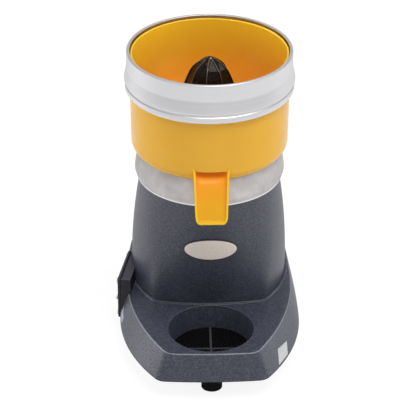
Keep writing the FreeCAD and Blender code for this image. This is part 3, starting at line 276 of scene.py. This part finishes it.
def label_print(name, upper, lower, height):
    """Plain film: one 8-bit tone above a height in millimetres and another below it."""
    t = Tree(name)
    fac = t.noise(400)
    low, high = (t.ramp(fac, (0.35, srgb(r - 5, g - 5, b - 5)), (0.65, srgb(r + 5, g + 5, b + 5)))
                 for r, g, b in (lower, upper))
    above = t.math("GREATER_THAN", t.along("Z"), height * MM)
    return t.surface(Base_Color=t.blend(above, low, high), Roughness=0.45)


def badge_face():
    """Pale lacquer with a dark edge line."""
    t = Tree("badge_metal")
    fac = t.noise(700)
    tone = t.ramp(fac, (0.35, srgb(226, 214, 204)), (0.65, srgb(236, 225, 216)))
    return t.surface(Base_Color=t.blend(t.mark("dark"), tone, srgb(46, 42, 44)), Roughness=0.35,
                     Normal=t.bump(fac, 0.05, 0.0002))


def grid_plastic():
    """Black rings, with the four arms a little paler as a painted highlight."""
    t = Tree("grid_plastic")
    low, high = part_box("drip_grid")
    half_arm = 1.25 * MM
    fac = t.noise(900)
    tone = t.ramp(fac, (0.35, srgb(5, 5, 7)), (0.65, srgb(12, 12, 14)))
    # painted highlight: the four arms a little paler
    arm_highlight = t.math("MAXIMUM", t.math("COMPARE", t.along("X"), 0.0, half_arm),
                  t.math("COMPARE", t.along("Y"), (low[1] + high[1]) / 2, half_arm))
    return t.surface(Base_Color=t.blend(arm_highlight, tone, srgb(62, 62, 68)), Roughness=0.5, IOR=1.3,
                     Normal=t.bump(fac, 0.1, 0.0003))


def switch_plastic():
    """Matt black housing with a fine grain, lighter upward faces as painted light, and painted
    highlights on the edges.
    """
    t = Tree("switch_plastic")
    fac = t.noise(600, 3, 0.6)
    tone = t.ramp(fac, (0.35, srgb(22, 22, 28)), (0.65, srgb(38, 38, 46)))
    # painted light: faces turned upward are lighter
    top = t.ramp(t.along("Z", t.normal()), (0.3, level(0)), (0.95, level(0.9)))
    tone = t.blend(top, tone, srgb(72, 71, 82))
    # painted highlight on the edges
    soft, edge_highlight = t.edges(0.8 * MM, 0.75, 0.97, 0.8)
    return t.surface(Base_Color=t.blend(edge_highlight, tone, srgb(122, 122, 132)), Roughness=0.45,
                     IOR=1.4, Normal=t.bump(fac, 0.25, 0.0003, soft))


LOOKS = {
    "graphite_paint": hammer_paint(),
    "cast_aluminium": sand_cast(),
    "satin_aluminium": spun_aluminium(),
    "bowl_plastic": amber_plastic(),
    "cone_plastic": black_gloss(),
    "badge_metal": badge_face(),
    "label_film": label_print("label_film", (184, 186, 190), (190, 192, 196), 36),
    "switch_plastic": switch_plastic(),
    "grid_plastic": grid_plastic(),
}
# two 8-bit tones, metallic, roughness, noise scale, and where given bump, stretch and IOR
GRAINS = {
    "zinc_sheet": ((186, 190, 190), (206, 209, 208), 0.9, 0.38, 90),
    "zinc_steel": ((196, 198, 196), (214, 216, 214), 0.95, 0.28, 400),
    "black_rubber": ((5, 5, 6), (12, 12, 14), 0, 0.6, 900, 0.1, None, 1.3),
    "stator_steel": ((142, 142, 145), (168, 168, 171), 0.9, 0.4, 1, 0.1, (4, 4, 2000)),
    "copper_wire": ((176, 92, 48), (214, 130, 78), 0.8, 0.35, 600, 0.6),
    "bearing_steel": ((200, 202, 205), (222, 224, 226), 1, 0.18, 300),
    "capacitor_can": ((216, 218, 214), (228, 230, 226), 0, 0.3, 200),
    "terminal_plastic": ((224, 220, 205), (236, 232, 218), 0, 0.4, 300),
    "black_plastic": ((24, 24, 27), (40, 40, 44), 0, 0.42, 1200),
    "rotor_steel": ((160, 160, 163), (182, 182, 185), 0.95, 0.3, 1, 0.1, (4, 4, 1500)),
    "fan_plastic": ((58, 58, 62), (74, 74, 78), 0, 0.45, 900),
    "brass_insert": ((196, 160, 88), (222, 188, 116), 1, 0.25, 500),
    "strainer_steel": ((208, 208, 210), (226, 226, 228), 1, 0.22, 300),
    "rocker_plastic": ((206, 192, 190), (228, 214, 212), 0, 0.25, 300),
}
for slot, (low, high, *rest) in GRAINS.items():
    LOOKS[slot] = grained(slot, srgb(*low), srgb(*high), *rest)

slot_of = {part["node"]: part["material_slot"] for part in frame["record"]["subparts"]}
for node, thing in frame["nodes"].items():
    thing.data.materials.clear()
    thing.data.materials.append(LOOKS[slot_of[node]])


# ---------------------------------------------------------------- mesh helpers
def corner_arcs(points, closed=True, steps=6):
    """(across, up, radius) corners in millimetres become a line with arcs at the corners."""
    line = []
    count = len(points)
    for i, (x, y, radius) in enumerate(points):
        if not radius or (not closed and i in (0, count - 1)):
            line.append((x, y))
            continue
        here = Vector((x, y))
        back = Vector(points[i - 1][:2]) - here
        ahead = Vector(points[(i + 1) % count][:2]) - here
        half = back.angle(ahead) / 2
        reach = min(radius / math.tan(half), back.length * 0.49, ahead.length * 0.49)
        radius = reach * math.tan(half)
        middle = (back.normalized() + ahead.normalized()).normalized()
        centre = here + middle * radius / math.sin(half)
        first = here + back.normalized() * reach - centre
        last = here + ahead.normalized() * reach - centre
        turn = math.atan2(first.x * last.y - first.y * last.x, first.dot(last))
        for k in range(steps + 1):
            a = turn * k / steps
            line.append((centre.x + first.x * math.cos(a) - first.y * math.sin(a),
                         centre.y + first.x * math.sin(a) + first.y * math.cos(a)))
    return line


def add_mesh(name, verts, faces, body, slot, replaced=(), sharp=38):
    """A piece from vertices in millimetres, shaded smooth up to an angle."""
    mesh = bpy.data.meshes.new(name)
    mesh.from_pydata([tuple(c * MM for c in v) for v in verts], [], faces)
    work = bmesh.new()
    work.from_mesh(mesh)
    bmesh.ops.remove_doubles(work, verts=work.verts, dist=1e-7)
    bmesh.ops.recalc_face_normals(work, faces=work.faces)
    work.to_mesh(mesh)
    work.free()
    mesh.polygons.foreach_set("use_smooth", [True] * len(mesh.polygons))
    mesh.set_sharp_from_angle(angle=math.radians(sharp))
    made = bpy.data.objects.new(name, mesh)
    scene.collection.objects.link(made)
    mesh.materials.append(LOOKS[slot])
    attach(made, body)
    if replaced:
        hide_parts(*replaced)
    return made


def lathe(name, profile, body, slot, replaced, steps=192):
    """Turns a closed line of (radius, z) in millimetres about the drive axis."""
    verts, faces = [], []
    count = len(profile)
    for i in range(steps):
        a = 2 * math.pi * i / steps
        verts += [(r * math.cos(a), r * math.sin(a), z) for r, z in profile]
    for i in range(steps):
        j = (i + 1) % steps
        for k in range(count):
            m = (k + 1) % count
            faces.append((i * count + k, j * count + k, j * count + m, i * count + m))
    faces = [f for f in faces if len(set(f)) > 2]
    return add_mesh(name, verts, faces, body, slot, replaced)


def mark(made, name, values):
    """A number per vertex for the materials.

    rim is 1 on thin edges and ribs, where painted light and painted highlights go, shade where
    painted shade and a painted glow stand in for light coming through the wall, calm where the
    gloss is low and dark on the badge's outline.
    """
    made.data.attributes.new(name, "FLOAT", "POINT").data.foreach_set("value", values)


def ramped(x, low, high):
    """0 below low and 1 above high, with a smooth rise between."""
    t = max(0.0, min(1.0, (x - low) / (high - low)))
    return t * t * (3 - 2 * t)


# ---------------------------------------------------------------- bowl with its spout
RING_LOW, RING_TOP = (c[2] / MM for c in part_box("splash_ring"))
BOWL_Z = RING_LOW - 73.7
LIP_Z = BOWL_Z + 114.4
BOWL_FLOOR = 2.5
MOUTH_WIDE, MOUTH_DEEP, MOUTH_HIGH, MOUTH_CORNER = 38.4, 24, 11.2, 2.5
MOUTH_Y = -82


def make_mouth_cutter():
    """A block with rounded upper corners, where the juice leaves the bowl."""
    cut = bmesh.new()
    bmesh.ops.create_cube(cut, size=1)
    for v in cut.verts:
        v.co = Vector((v.co.x * MOUTH_WIDE, MOUTH_Y + v.co.y * MOUTH_DEEP,
                       BOWL_Z + BOWL_FLOOR + (0.5 + v.co.z) * MOUTH_HIGH)) * MM
    middle = (BOWL_Z + BOWL_FLOOR + MOUTH_HIGH / 2) * MM
    upper = [e for e in cut.edges if abs(e.verts[0].co.y - e.verts[1].co.y) > 0.01
             and e.verts[0].co.z > middle]
    bmesh.ops.bevel(cut, geom=upper, offset=MOUTH_CORNER * MM, segments=4, affect="EDGES")
    mesh = bpy.data.meshes.new("mouth_cut")
    cut.to_mesh(mesh)
    cut.free()
    cutter = bpy.data.objects.new("mouth_cut", mesh)
    scene.collection.objects.link(cutter)
    return cutter


def make_bowl():
    """The bowl, turned, with its centre sleeve, and the spout's mouth cut through the wall."""
    z = BOWL_Z
    profile = corner_arcs([
        (11.6, z, 0), (79.5, z, 7), (85.2, z + 9, 9), (86.3, RING_LOW - 2, 0),
        (87.8, RING_LOW - 1, 0.3), (87.8, RING_LOW, 0.3), (86.3, RING_LOW, 0),
        (85.3, LIP_Z, 1.1), (83.0, LIP_Z, 1.1), (83.8, RING_LOW, 0), (82.7, z + 14, 0.5),
        (78.7, z + 14, 0.8), (78.7, z + BOWL_FLOOR, 2.5), (14.2, z + BOWL_FLOOR, 2),
        (14.2, z + 33.5, 0.8),
        (11.6, z + 33.5, 0.8)])
    bowl = lathe("bowl_shell", profile, "bowl", "bowl_plastic", ["bowl"])
    cutter = make_mouth_cutter()
    step = bowl.modifiers.new("mouth", "BOOLEAN")
    step.object = cutter
    step.solver = "EXACT"
    bpy.context.view_layer.objects.active = bowl
    bpy.ops.object.modifier_apply(modifier="mouth")
    bpy.data.objects.remove(cutter)
    bowl.data.set_sharp_from_angle(angle=math.radians(38))
    rim, shade = [], []
    for v in bowl.data.vertices:
        co = v.co / MM
        middle_of_wall = 84.6 if co.z > z + 12 else 78.9
        inner = math.hypot(co.x, co.y) < middle_of_wall and co.z > z + 2
        # painted light: the rim mark is 1 on the top band of the lip
        rim.append(ramped(co.z, LIP_Z - 2.2, LIP_Z - 0.6))
        # painted shade and glow inside the bowl, growing downward and toward +x
        shade.append(0.8 * ramped(z + 100 - co.z + 0.1 * co.x, 0, 80) if inner else 0.0)
    mark(bowl, "rim", rim)
    mark(bowl, "shade", shade)


def curve_at(points, t):
    """A point on a smooth line through points, evenly spaced in t."""
    n = len(points) - 1
    i = min(int(t * n), n - 1)
    f = t * n - i
    p0, p1, p2, p3 = (points[max(0, min(n, i + k))] for k in (-1, 0, 1, 2))
    return tuple(0.5 * (2 * b + (c - a) * f + (2 * a - 5 * b + 4 * c - d) * f * f
                        + (3 * b - a - 3 * c + d) * f ** 3)
                 for a, b, c, d in zip(p0, p1, p2, p3))


def make_spout():
    """An open scoop below the bowl's mouth, its walls falling to a rounded lip."""
    z = BOWL_Z
    length, wall = 64.0, 2.1
    corner, inward = 11.0, 6.4  # the lip's corners, along and across
    curl_from = 0.9  # where the floor starts to rise into the lip
    rim = [(-84.6, z + 16.0), (-88.4, z + 10.0), (-93.4, z - 1.5), (-98.6, z - 15),
           (-103.4, z - 28), (-106.7, z - 38.6)]
    floor = [(-70, z + 2.9), (-80.5, z + 2.6), (-86.6, z - 3.5), (-92.2, z - 17),
             (-97.6, z - 29.0), (-102.4, z - 38.6)]
    rows = [0.0, 0.04, 0.08, 0.14, 0.2, 0.28, 0.36, 0.44, 0.52, 0.6, 0.68, 0.75, 0.81, 0.86, 0.9,
            0.93, 0.95, 0.965, 0.978, 0.988, 0.995, 1.0]
    across = 36
    verts, faces = [], []
    for t in rows:
        ry, rz = curve_at(rim, t)
        fy, fz = curve_at(floor, t)
        if t > curl_from:
            past = (t - curl_from) / (1 - curl_from)
            curl = math.sqrt(max(0.0, 1 - past ** 2)) * 0.9 + 0.1
            fy, fz = ry + (fy - ry) * curl, rz + (fz - rz) * curl
        half = 19.4 - 2.5 * t + 1.3 * max(0, 1 - t / 0.14) ** 2
        left = (1 - t) * length
        if left < corner:
            half -= inward * (1 - math.sqrt(max(0, 1 - (1 - left / corner) ** 2)))
        for k in range(across + 1):
            a = -math.pi / 2 + math.pi * k / across
            x = math.copysign(abs(math.sin(a)) ** 0.5, a) * half
            h = max(0.0, math.cos(a)) ** 0.5
            verts.append((x, ry + (fy - ry) * h, rz + (fz - rz) * h))
    wide = across + 1
    for i in range(len(rows) - 1):
        for k in range(across):
            faces.append((i * wide + k, i * wide + k + 1, (i + 1) * wide + k + 1,
                          (i + 1) * wide + k))
    spout = add_mesh("bowl_spout", verts, faces, "bowl", "bowl_plastic", sharp=180)
    edge, deep = [], []
    for v in spout.data.vertices:
        i, k = divmod(v.index, wide)
        off_middle = abs(k / across - 0.5)
        # painted light on the side rims and the lip, carried by the rim mark
        lip = max(ramped(off_middle, 0.45, 0.5), ramped(rows[i], 0.97, 1))
        edge.append(lip * ramped(rows[i], 0.0, 0.16))
        # painted shade and glow in the scoop, deeper toward the bowl and along the sides
        side = ramped(off_middle, 0.2, 0.42) * ramped(1 - rows[i], 0.0, 0.5)
        deep.append((0.48 * ramped(1 - rows[i], 0.05, 0.8) + 0.3 * side) * (1 - lip))
    mark(spout, "rim", edge)
    mark(spout, "shade", deep)
    mark(spout, "calm", [1.0] * len(edge))
    thick = spout.modifiers.new("thick", "SOLIDIFY")
    thick.thickness = wall * MM
    thick.offset = 1.0
    thick.use_even_offset = True
    soft = spout.modifiers.new("soft", "BEVEL")
    soft.width = 0.7 * MM
    soft.segments = 3
    soft.limit_method = "ANGLE"
    soft.angle_limit = math.radians(50)


# ---------------------------------------------------------------- splash ring and cone
def make_ring():
    """The splash ring: a rolled foot, a bead, a flaring wall and a turned-in top."""
    low, top = RING_LOW, RING_TOP
    profile = corner_arcs([
        (86.7, low, 0.4), (90.6, low, 0.7), (91.5, low + 2.2, 0.8), (91.2, low + 6.6, 0.6),
        (90.1, low + 7.6, 0.25), (92.4, low + 11.5, 2.2), (89.6, low + 25, 14),
        (89.4, top - 1.2, 0.9), (88.7, top, 0.8), (85.9, top, 0.8), (85.9, top - 1.4, 0.5),
        (87.9, top - 2.6, 0.5), (88.0, low + 25, 10), (90.8, low + 12, 2), (88.8, low + 7.8, 0.4),
        (89.6, low + 1.6, 0.4), (86.7, low + 1.4, 0.3)])
    lathe("splash_ring_spun", profile, "ring", "satin_aluminium", ["splash_ring"])


CONE_LOW, CONE_TIP = (c[2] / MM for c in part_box("squeezing_cone"))
CONE_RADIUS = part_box("squeezing_cone")[1][0] / MM


def make_cone():
    """Beaded ribs that meet at the tip, with glossy hollow flutes between them."""
    ribs, per = 8, 40
    first_rib = math.radians(-10)
    flute_depth, rib_width = 3.1, 1.5
    crown = CONE_TIP - 0.8
    outline = [(0, 0.5), (1.2, 3.2), (3.6, 7.3), (8.3, 13.7), (13.5, 18.9), (18.8, 22.0),
               (27.5, 25.6), (37, 29.0), (50, 32.7), (63, 35.6), (72, 37.7),
               (crown - CONE_LOW, CONE_RADIUS)]  # (below the crown, radius)
    rows = [i / 54 for i in range(55)]
    verts, faces, line = [], [], []
    steps = ribs * per
    for t in rows:
        down, crest = curve_at(outline, t)
        deep = flute_depth * min(1.0, crest / 20) ** 1.1
        bead = rib_width / max(crest * math.pi * 2 / ribs, 3.0)  # as a share of the pitch
        for i in range(steps):
            a = 2 * math.pi * i / steps + first_rib
            off = i % per / per
            off = min(off, 1 - off)
            flute = ramped(off, bead * 0.35, bead) * 0.45 + 0.55 * math.sin(math.pi * off) ** 0.9
            r = crest - deep * flute
            verts.append((r * math.cos(a), r * math.sin(a), crown - down))
            # painted highlight along each rib crest, fainter lower down
            line.append(max(0.0, 1 - off / (0.5 * bead)) * (1 - 0.6 * ramped(down, 4, 30)))
    tip = len(verts)
    verts.append((0, 0, crown + 0.1))
    faces += [(tip, (k + 1) % steps, k) for k in range(steps)]
    for i in range(len(rows) - 1):
        for k in range(steps):
            m = (k + 1) % steps
            faces.append((i * steps + k, i * steps + m, (i + 1) * steps + m, (i + 1) * steps + k))
    base = (len(rows) - 1) * steps
    inner = corner_arcs([(CONE_RADIUS - 6.5, CONE_LOW, 0), (CONE_RADIUS - 8, CONE_LOW + 30, 20),
                         (14, CONE_TIP - 16, 4), (12, CONE_TIP - 20, 2), (12, CONE_LOW + 8, 0),
                         (9.2, CONE_LOW + 8, 0)], False)
    for r, z in inner:
        first = len(verts)
        verts += [(r * math.cos(2 * math.pi * k / steps), r * math.sin(2 * math.pi * k / steps), z)
                  for k in range(steps)]
        for k in range(steps):
            m = (k + 1) % steps
            faces.append((base + k, base + m, first + m, first + k))
        base = first
    cone = add_mesh("cone_fluted", verts, faces, "cone", "cone_plastic", ["squeezing_cone"],
                    sharp=30)
    mark(cone, "rim", line + [0.0] * (len(cone.data.vertices) - len(line)))


# ---------------------------------------------------------------- badge, labels and switch lip
def on_surface(node, points, out):
    """Points moved onto a CAD node's surface, and out along its normal."""
    holder = frame["nodes"][node]
    for p in points:
        _, where, normal, _ = holder.closest_point_on_mesh(Vector(p) * MM)
        yield tuple(where / MM + normal * out)


def make_label(name, corners, replaced):
    """A film that lies on the base's curved flank between four corners."""
    a, b, c, d = (Vector(p) for p in corners)
    cells, thickness, sunk = 12, 0.35, 0.2
    grid = [a.lerp(b, i / cells).lerp(d.lerp(c, i / cells), j / cells)
            for j in range(cells + 1) for i in range(cells + 1)]
    top = list(on_surface("base_casting", grid, thickness))
    low = list(on_surface("base_casting", grid, -sunk))
    wide = cells + 1
    verts = top + low
    n = len(top)
    faces = []
    for j in range(cells):
        for i in range(cells):
            q = (j * wide + i, j * wide + i + 1, (j + 1) * wide + i + 1, (j + 1) * wide + i)
            faces += [q, tuple(n + k for k in reversed(q))]
    ring = ([i for i in range(wide)] + [j * wide + cells for j in range(1, wide)]
            + [cells * wide + i for i in range(cells - 1, -1, -1)]
            + [j * wide for j in range(cells - 1, 0, -1)])
    for k, i in enumerate(ring):
        j = ring[(k + 1) % len(ring)]
        faces.append((i, j, n + j, n + i))
    return add_mesh(name, verts, faces, "root", "label_film", [replaced])


def make_badge():
    """A shallow domed oval on the tower, with a dark line round its edge."""
    (x0, y0, z0), (x1, _, z1) = (Vector(c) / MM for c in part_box("name_badge"))
    cx, cz = (x0 + x1) / 2, (z0 + z1) / 2
    rx, rz = (x1 - x0) * 0.516, (z1 - z0) * 0.535  # a little over the CAD badge's half sizes
    steps = 96
    # share of the size, height off the tower, and 1 where it is pale
    flat = [(1.0, 0.1, 0), (1.0, 0.75, 0), (0.985, 1.0, 0), (0.955, 0.95, 0.0), (0.946, 1.0, 1),
            (0.8, 1.1, 1), (0.5, 1.25, 1), (0.2, 1.3, 1)]
    points, lifts, dark = [], [], []
    for share, lift, pale in flat:
        for k in range(steps):
            a = 2 * math.pi * k / steps
            edge = (1 - share) * rx
            points.append((cx + (rx - edge) * math.cos(a), y0 + 2,
                           cz + (rz - edge * (1 if share > 0.9 else rz / rx)) * math.sin(a)))
            lifts.append(lift)
            dark.append(1.0 - pale)
    points.append((cx, y0 + 2, cz))
    lifts.append(1.3)
    dark.append(0.0)
    verts = []
    holder = frame["nodes"]["tower_casting"]
    for p, lift in zip(points, lifts):
        _, where, normal, _ = holder.ray_cast(Vector((p[0], -200, p[2])) * MM, Vector((0, 1, 0)))
        verts.append(tuple(where / MM + normal * lift))
    faces = []
    for r in range(len(flat) - 1):
        for k in range(steps):
            m = (k + 1) % steps
            faces.append((r * steps + k, r * steps + m, (r + 1) * steps + m, (r + 1) * steps + k))
    last = (len(flat) - 1) * steps
    faces += [(last + k, last + (k + 1) % steps, len(verts) - 1) for k in range(steps)]
    badge = add_mesh("badge_oval", verts, faces, "root", "badge_metal", ["name_badge"])
    mark(badge, "dark", dark)


def make_switch_lip():
    """A bar with rounded ends along the top of the switch cover."""
    along, out = Vector((-0.189095, -0.981959, 0)), Vector((-0.981959, 0.189095, 0))
    wide, high, inset, lift = 2.0, 2.1, 2.0, 0.2
    made = frame["nodes"]["switch_cover"]
    at = [made.matrix_world @ v.co / MM for v in made.data.vertices]
    run = [p.dot(along) for p in at]
    edge, top = max(p.dot(out) for p in at) - inset, max(p.z for p in at) + lift
    low, length = min(run) + 1.0, max(run) - min(run) - 2.0
    rows, around = 28, 20
    verts, faces = [], []
    for i in range(rows + 1):
        t = 0.5 - 0.5 * math.cos(math.pi * i / rows)
        share = min(1.0, math.sqrt(max(0.0, 1 - max(0.0, 1 - min(t, 1 - t) * length / high) ** 2)))
        share = max(share, 0.05)
        for k in range(around):
            a = 2 * math.pi * k / around
            p = along * (low + length * t) + out * (edge + wide * share * math.cos(a))
            verts.append((p.x, p.y, top + high * share * math.sin(a)))
    for i in range(rows):
        for k in range(around):
            m = (k + 1) % around
            faces.append((i * around + k, (i + 1) * around + k, (i + 1) * around + m,
                          i * around + m))
    faces += [tuple(range(around)), tuple(reversed(range(rows * around, (rows + 1) * around)))]
    add_mesh("switch_lip", verts, faces, "root", "switch_plastic")


make_bowl()
make_spout()
make_switch_lip()
make_ring()
make_cone()
make_badge()
make_label("label_right", [(72.3, -111.1, 38.8), (83.2, -90.0, 35.3), (84.0, -101.7, 25.9),
                           (73.4, -123.7, 26.1)], "right_label")
left = make_label("label_left", [(-92.0, -4.0, 46.0), (-90.0, -34.0, 42.0), (-98.0, -38.0, 27.0),
                                 (-100.5, -8.0, 27.0)], "left_label")
left.data.materials[0] = label_print("label_tint", (62, 72, 112), (158, 162, 182), 38.5)


# ---------------------------------------------------------------- floor, light, camera
LOOK_AT = Vector((0, 0, 0.17))
FLOOR_GLOW, FLOOR_GLOW_SHARE = 1.1, 0.8
ROOM_LIGHT = 0.5
# the camera fitted to the photograph: degrees, millimetres of lens, place in millimetres
YAW, PITCH, ROLL = 1.36, 29.7, 0.10
LENS, SENSOR = 197.1, 36
CAMERA_PLACE = (-53.7, -2198, 1408)


def area(name, size, place, power):
    """A rectangular lamp that faces the middle of the press; metres and watts."""
    lamp = bpy.data.lights.new(name, "AREA")
    lamp.shape = "RECTANGLE"
    lamp.size, lamp.size_y = size
    lamp.energy = power
    made = bpy.data.objects.new(name, lamp)
    scene.collection.objects.link(made)
    made.location = place
    made.rotation_mode = "QUATERNION"
    aim = LOOK_AT - Vector(place)
    made.rotation_quaternion = aim.to_track_quat("-Z", "Y")
    return made


def make_floor():
    """A pale floor that takes the shadow and looks white to the camera."""
    bpy.ops.mesh.primitive_plane_add(size=40, location=(0, 0, 0))
    floor = bpy.context.object
    floor.name = "floor"
    t = Tree("floor_white")
    t.surface(Base_Color=(0.8, 0.8, 0.8, 1), Roughness=0.9)
    glow = t.feed(t.node("ShaderNodeEmission"), Strength=FLOOR_GLOW)
    seen = t.node("ShaderNodeLightPath").outputs["Is Camera Ray"]
    mix = t.feed(t.node("ShaderNodeMixShader"), Fac=t.math("MULTIPLY", seen, FLOOR_GLOW_SHARE))
    t.link(t.shader.outputs[0], mix.inputs[1])
    t.link(glow.outputs[0], mix.inputs[2])
    t.link(mix.outputs[0], t.out.inputs["Surface"])
    floor.data.materials.append(t.mat)


def make_world():
    """Even room light, seen by the camera as white."""
    world = bpy.data.worlds.new("studio")
    scene.world = world
    world.use_nodes = True
    nodes, links = world.node_tree.nodes, world.node_tree.links
    soft, white = nodes["Background"], nodes.new("ShaderNodeBackground")
    for back, strength in ((soft, ROOM_LIGHT), (white, 1.0)):
        back.inputs["Color"].default_value = (1, 1, 1, 1)
        back.inputs["Strength"].default_value = strength
    path = nodes.new("ShaderNodeLightPath")
    mix = nodes.new("ShaderNodeMixShader")
    links.new(path.outputs["Is Camera Ray"], mix.inputs["Fac"])
    links.new(soft.outputs[0], mix.inputs[1])
    links.new(white.outputs[0], mix.inputs[2])
    links.new(mix.outputs[0], nodes["World Output"].inputs["Surface"])


def make_camera():
    """The photograph's camera."""
    yaw, pitch, roll = (math.radians(a) for a in (YAW, PITCH, ROLL))
    forward = Vector((math.sin(yaw) * math.cos(pitch), math.cos(yaw) * math.cos(pitch),
                      -math.sin(pitch)))
    right = Vector((math.cos(yaw), -math.sin(yaw), 0))
    up = right.cross(forward)
    r = math.cos(roll) * right + math.sin(roll) * up
    u = -math.sin(roll) * right + math.cos(roll) * up
    camera = bpy.data.objects.new("camera", bpy.data.cameras.new("camera"))
    scene.collection.objects.link(camera)
    camera.data.sensor_width = SENSOR
    camera.data.lens = LENS
    camera.data.clip_start, camera.data.clip_end = 0.1, 100
    turn = Matrix((r, u, -forward)).transposed()
    camera.matrix_world = Matrix.Translation(Vector(CAMERA_PLACE) * MM) @ turn.to_4x4()
    scene.camera = camera


make_floor()
make_world()
area("key", (1.7, 1.2), (0.55, -1.05, 2.5), 38)
# the side lamps light all but the ring and tray, and the switch box throws no shadow in them
lit = bpy.data.collections.new("beside_ring")
blocking = bpy.data.collections.new("open_side")
for thing in scene.objects:
    if thing.type != "MESH":
        continue
    if thing.name not in ("splash_ring_spun", "top_tray"):
        lit.objects.link(thing)
    if not thing.name.startswith("switch_"):
        blocking.objects.link(thing)
for name, x, power in (("left", -1.7, 14), ("right", 1.7, 9)):
    lamp = area(name, (0.6, 1.6), (x, 0.5, 0.8), power)
    lamp.light_linking.receiver_collection = lit
    lamp.light_linking.blocker_collection = blocking
bowl_lamp = area("over_bowl", (0.11, 0.11), (0.015, 0.0, 0.80), 0.045)
bowl_lamp.data.spread = math.radians(9)
make_camera()
scene.view_settings.view_transform = "Standard"
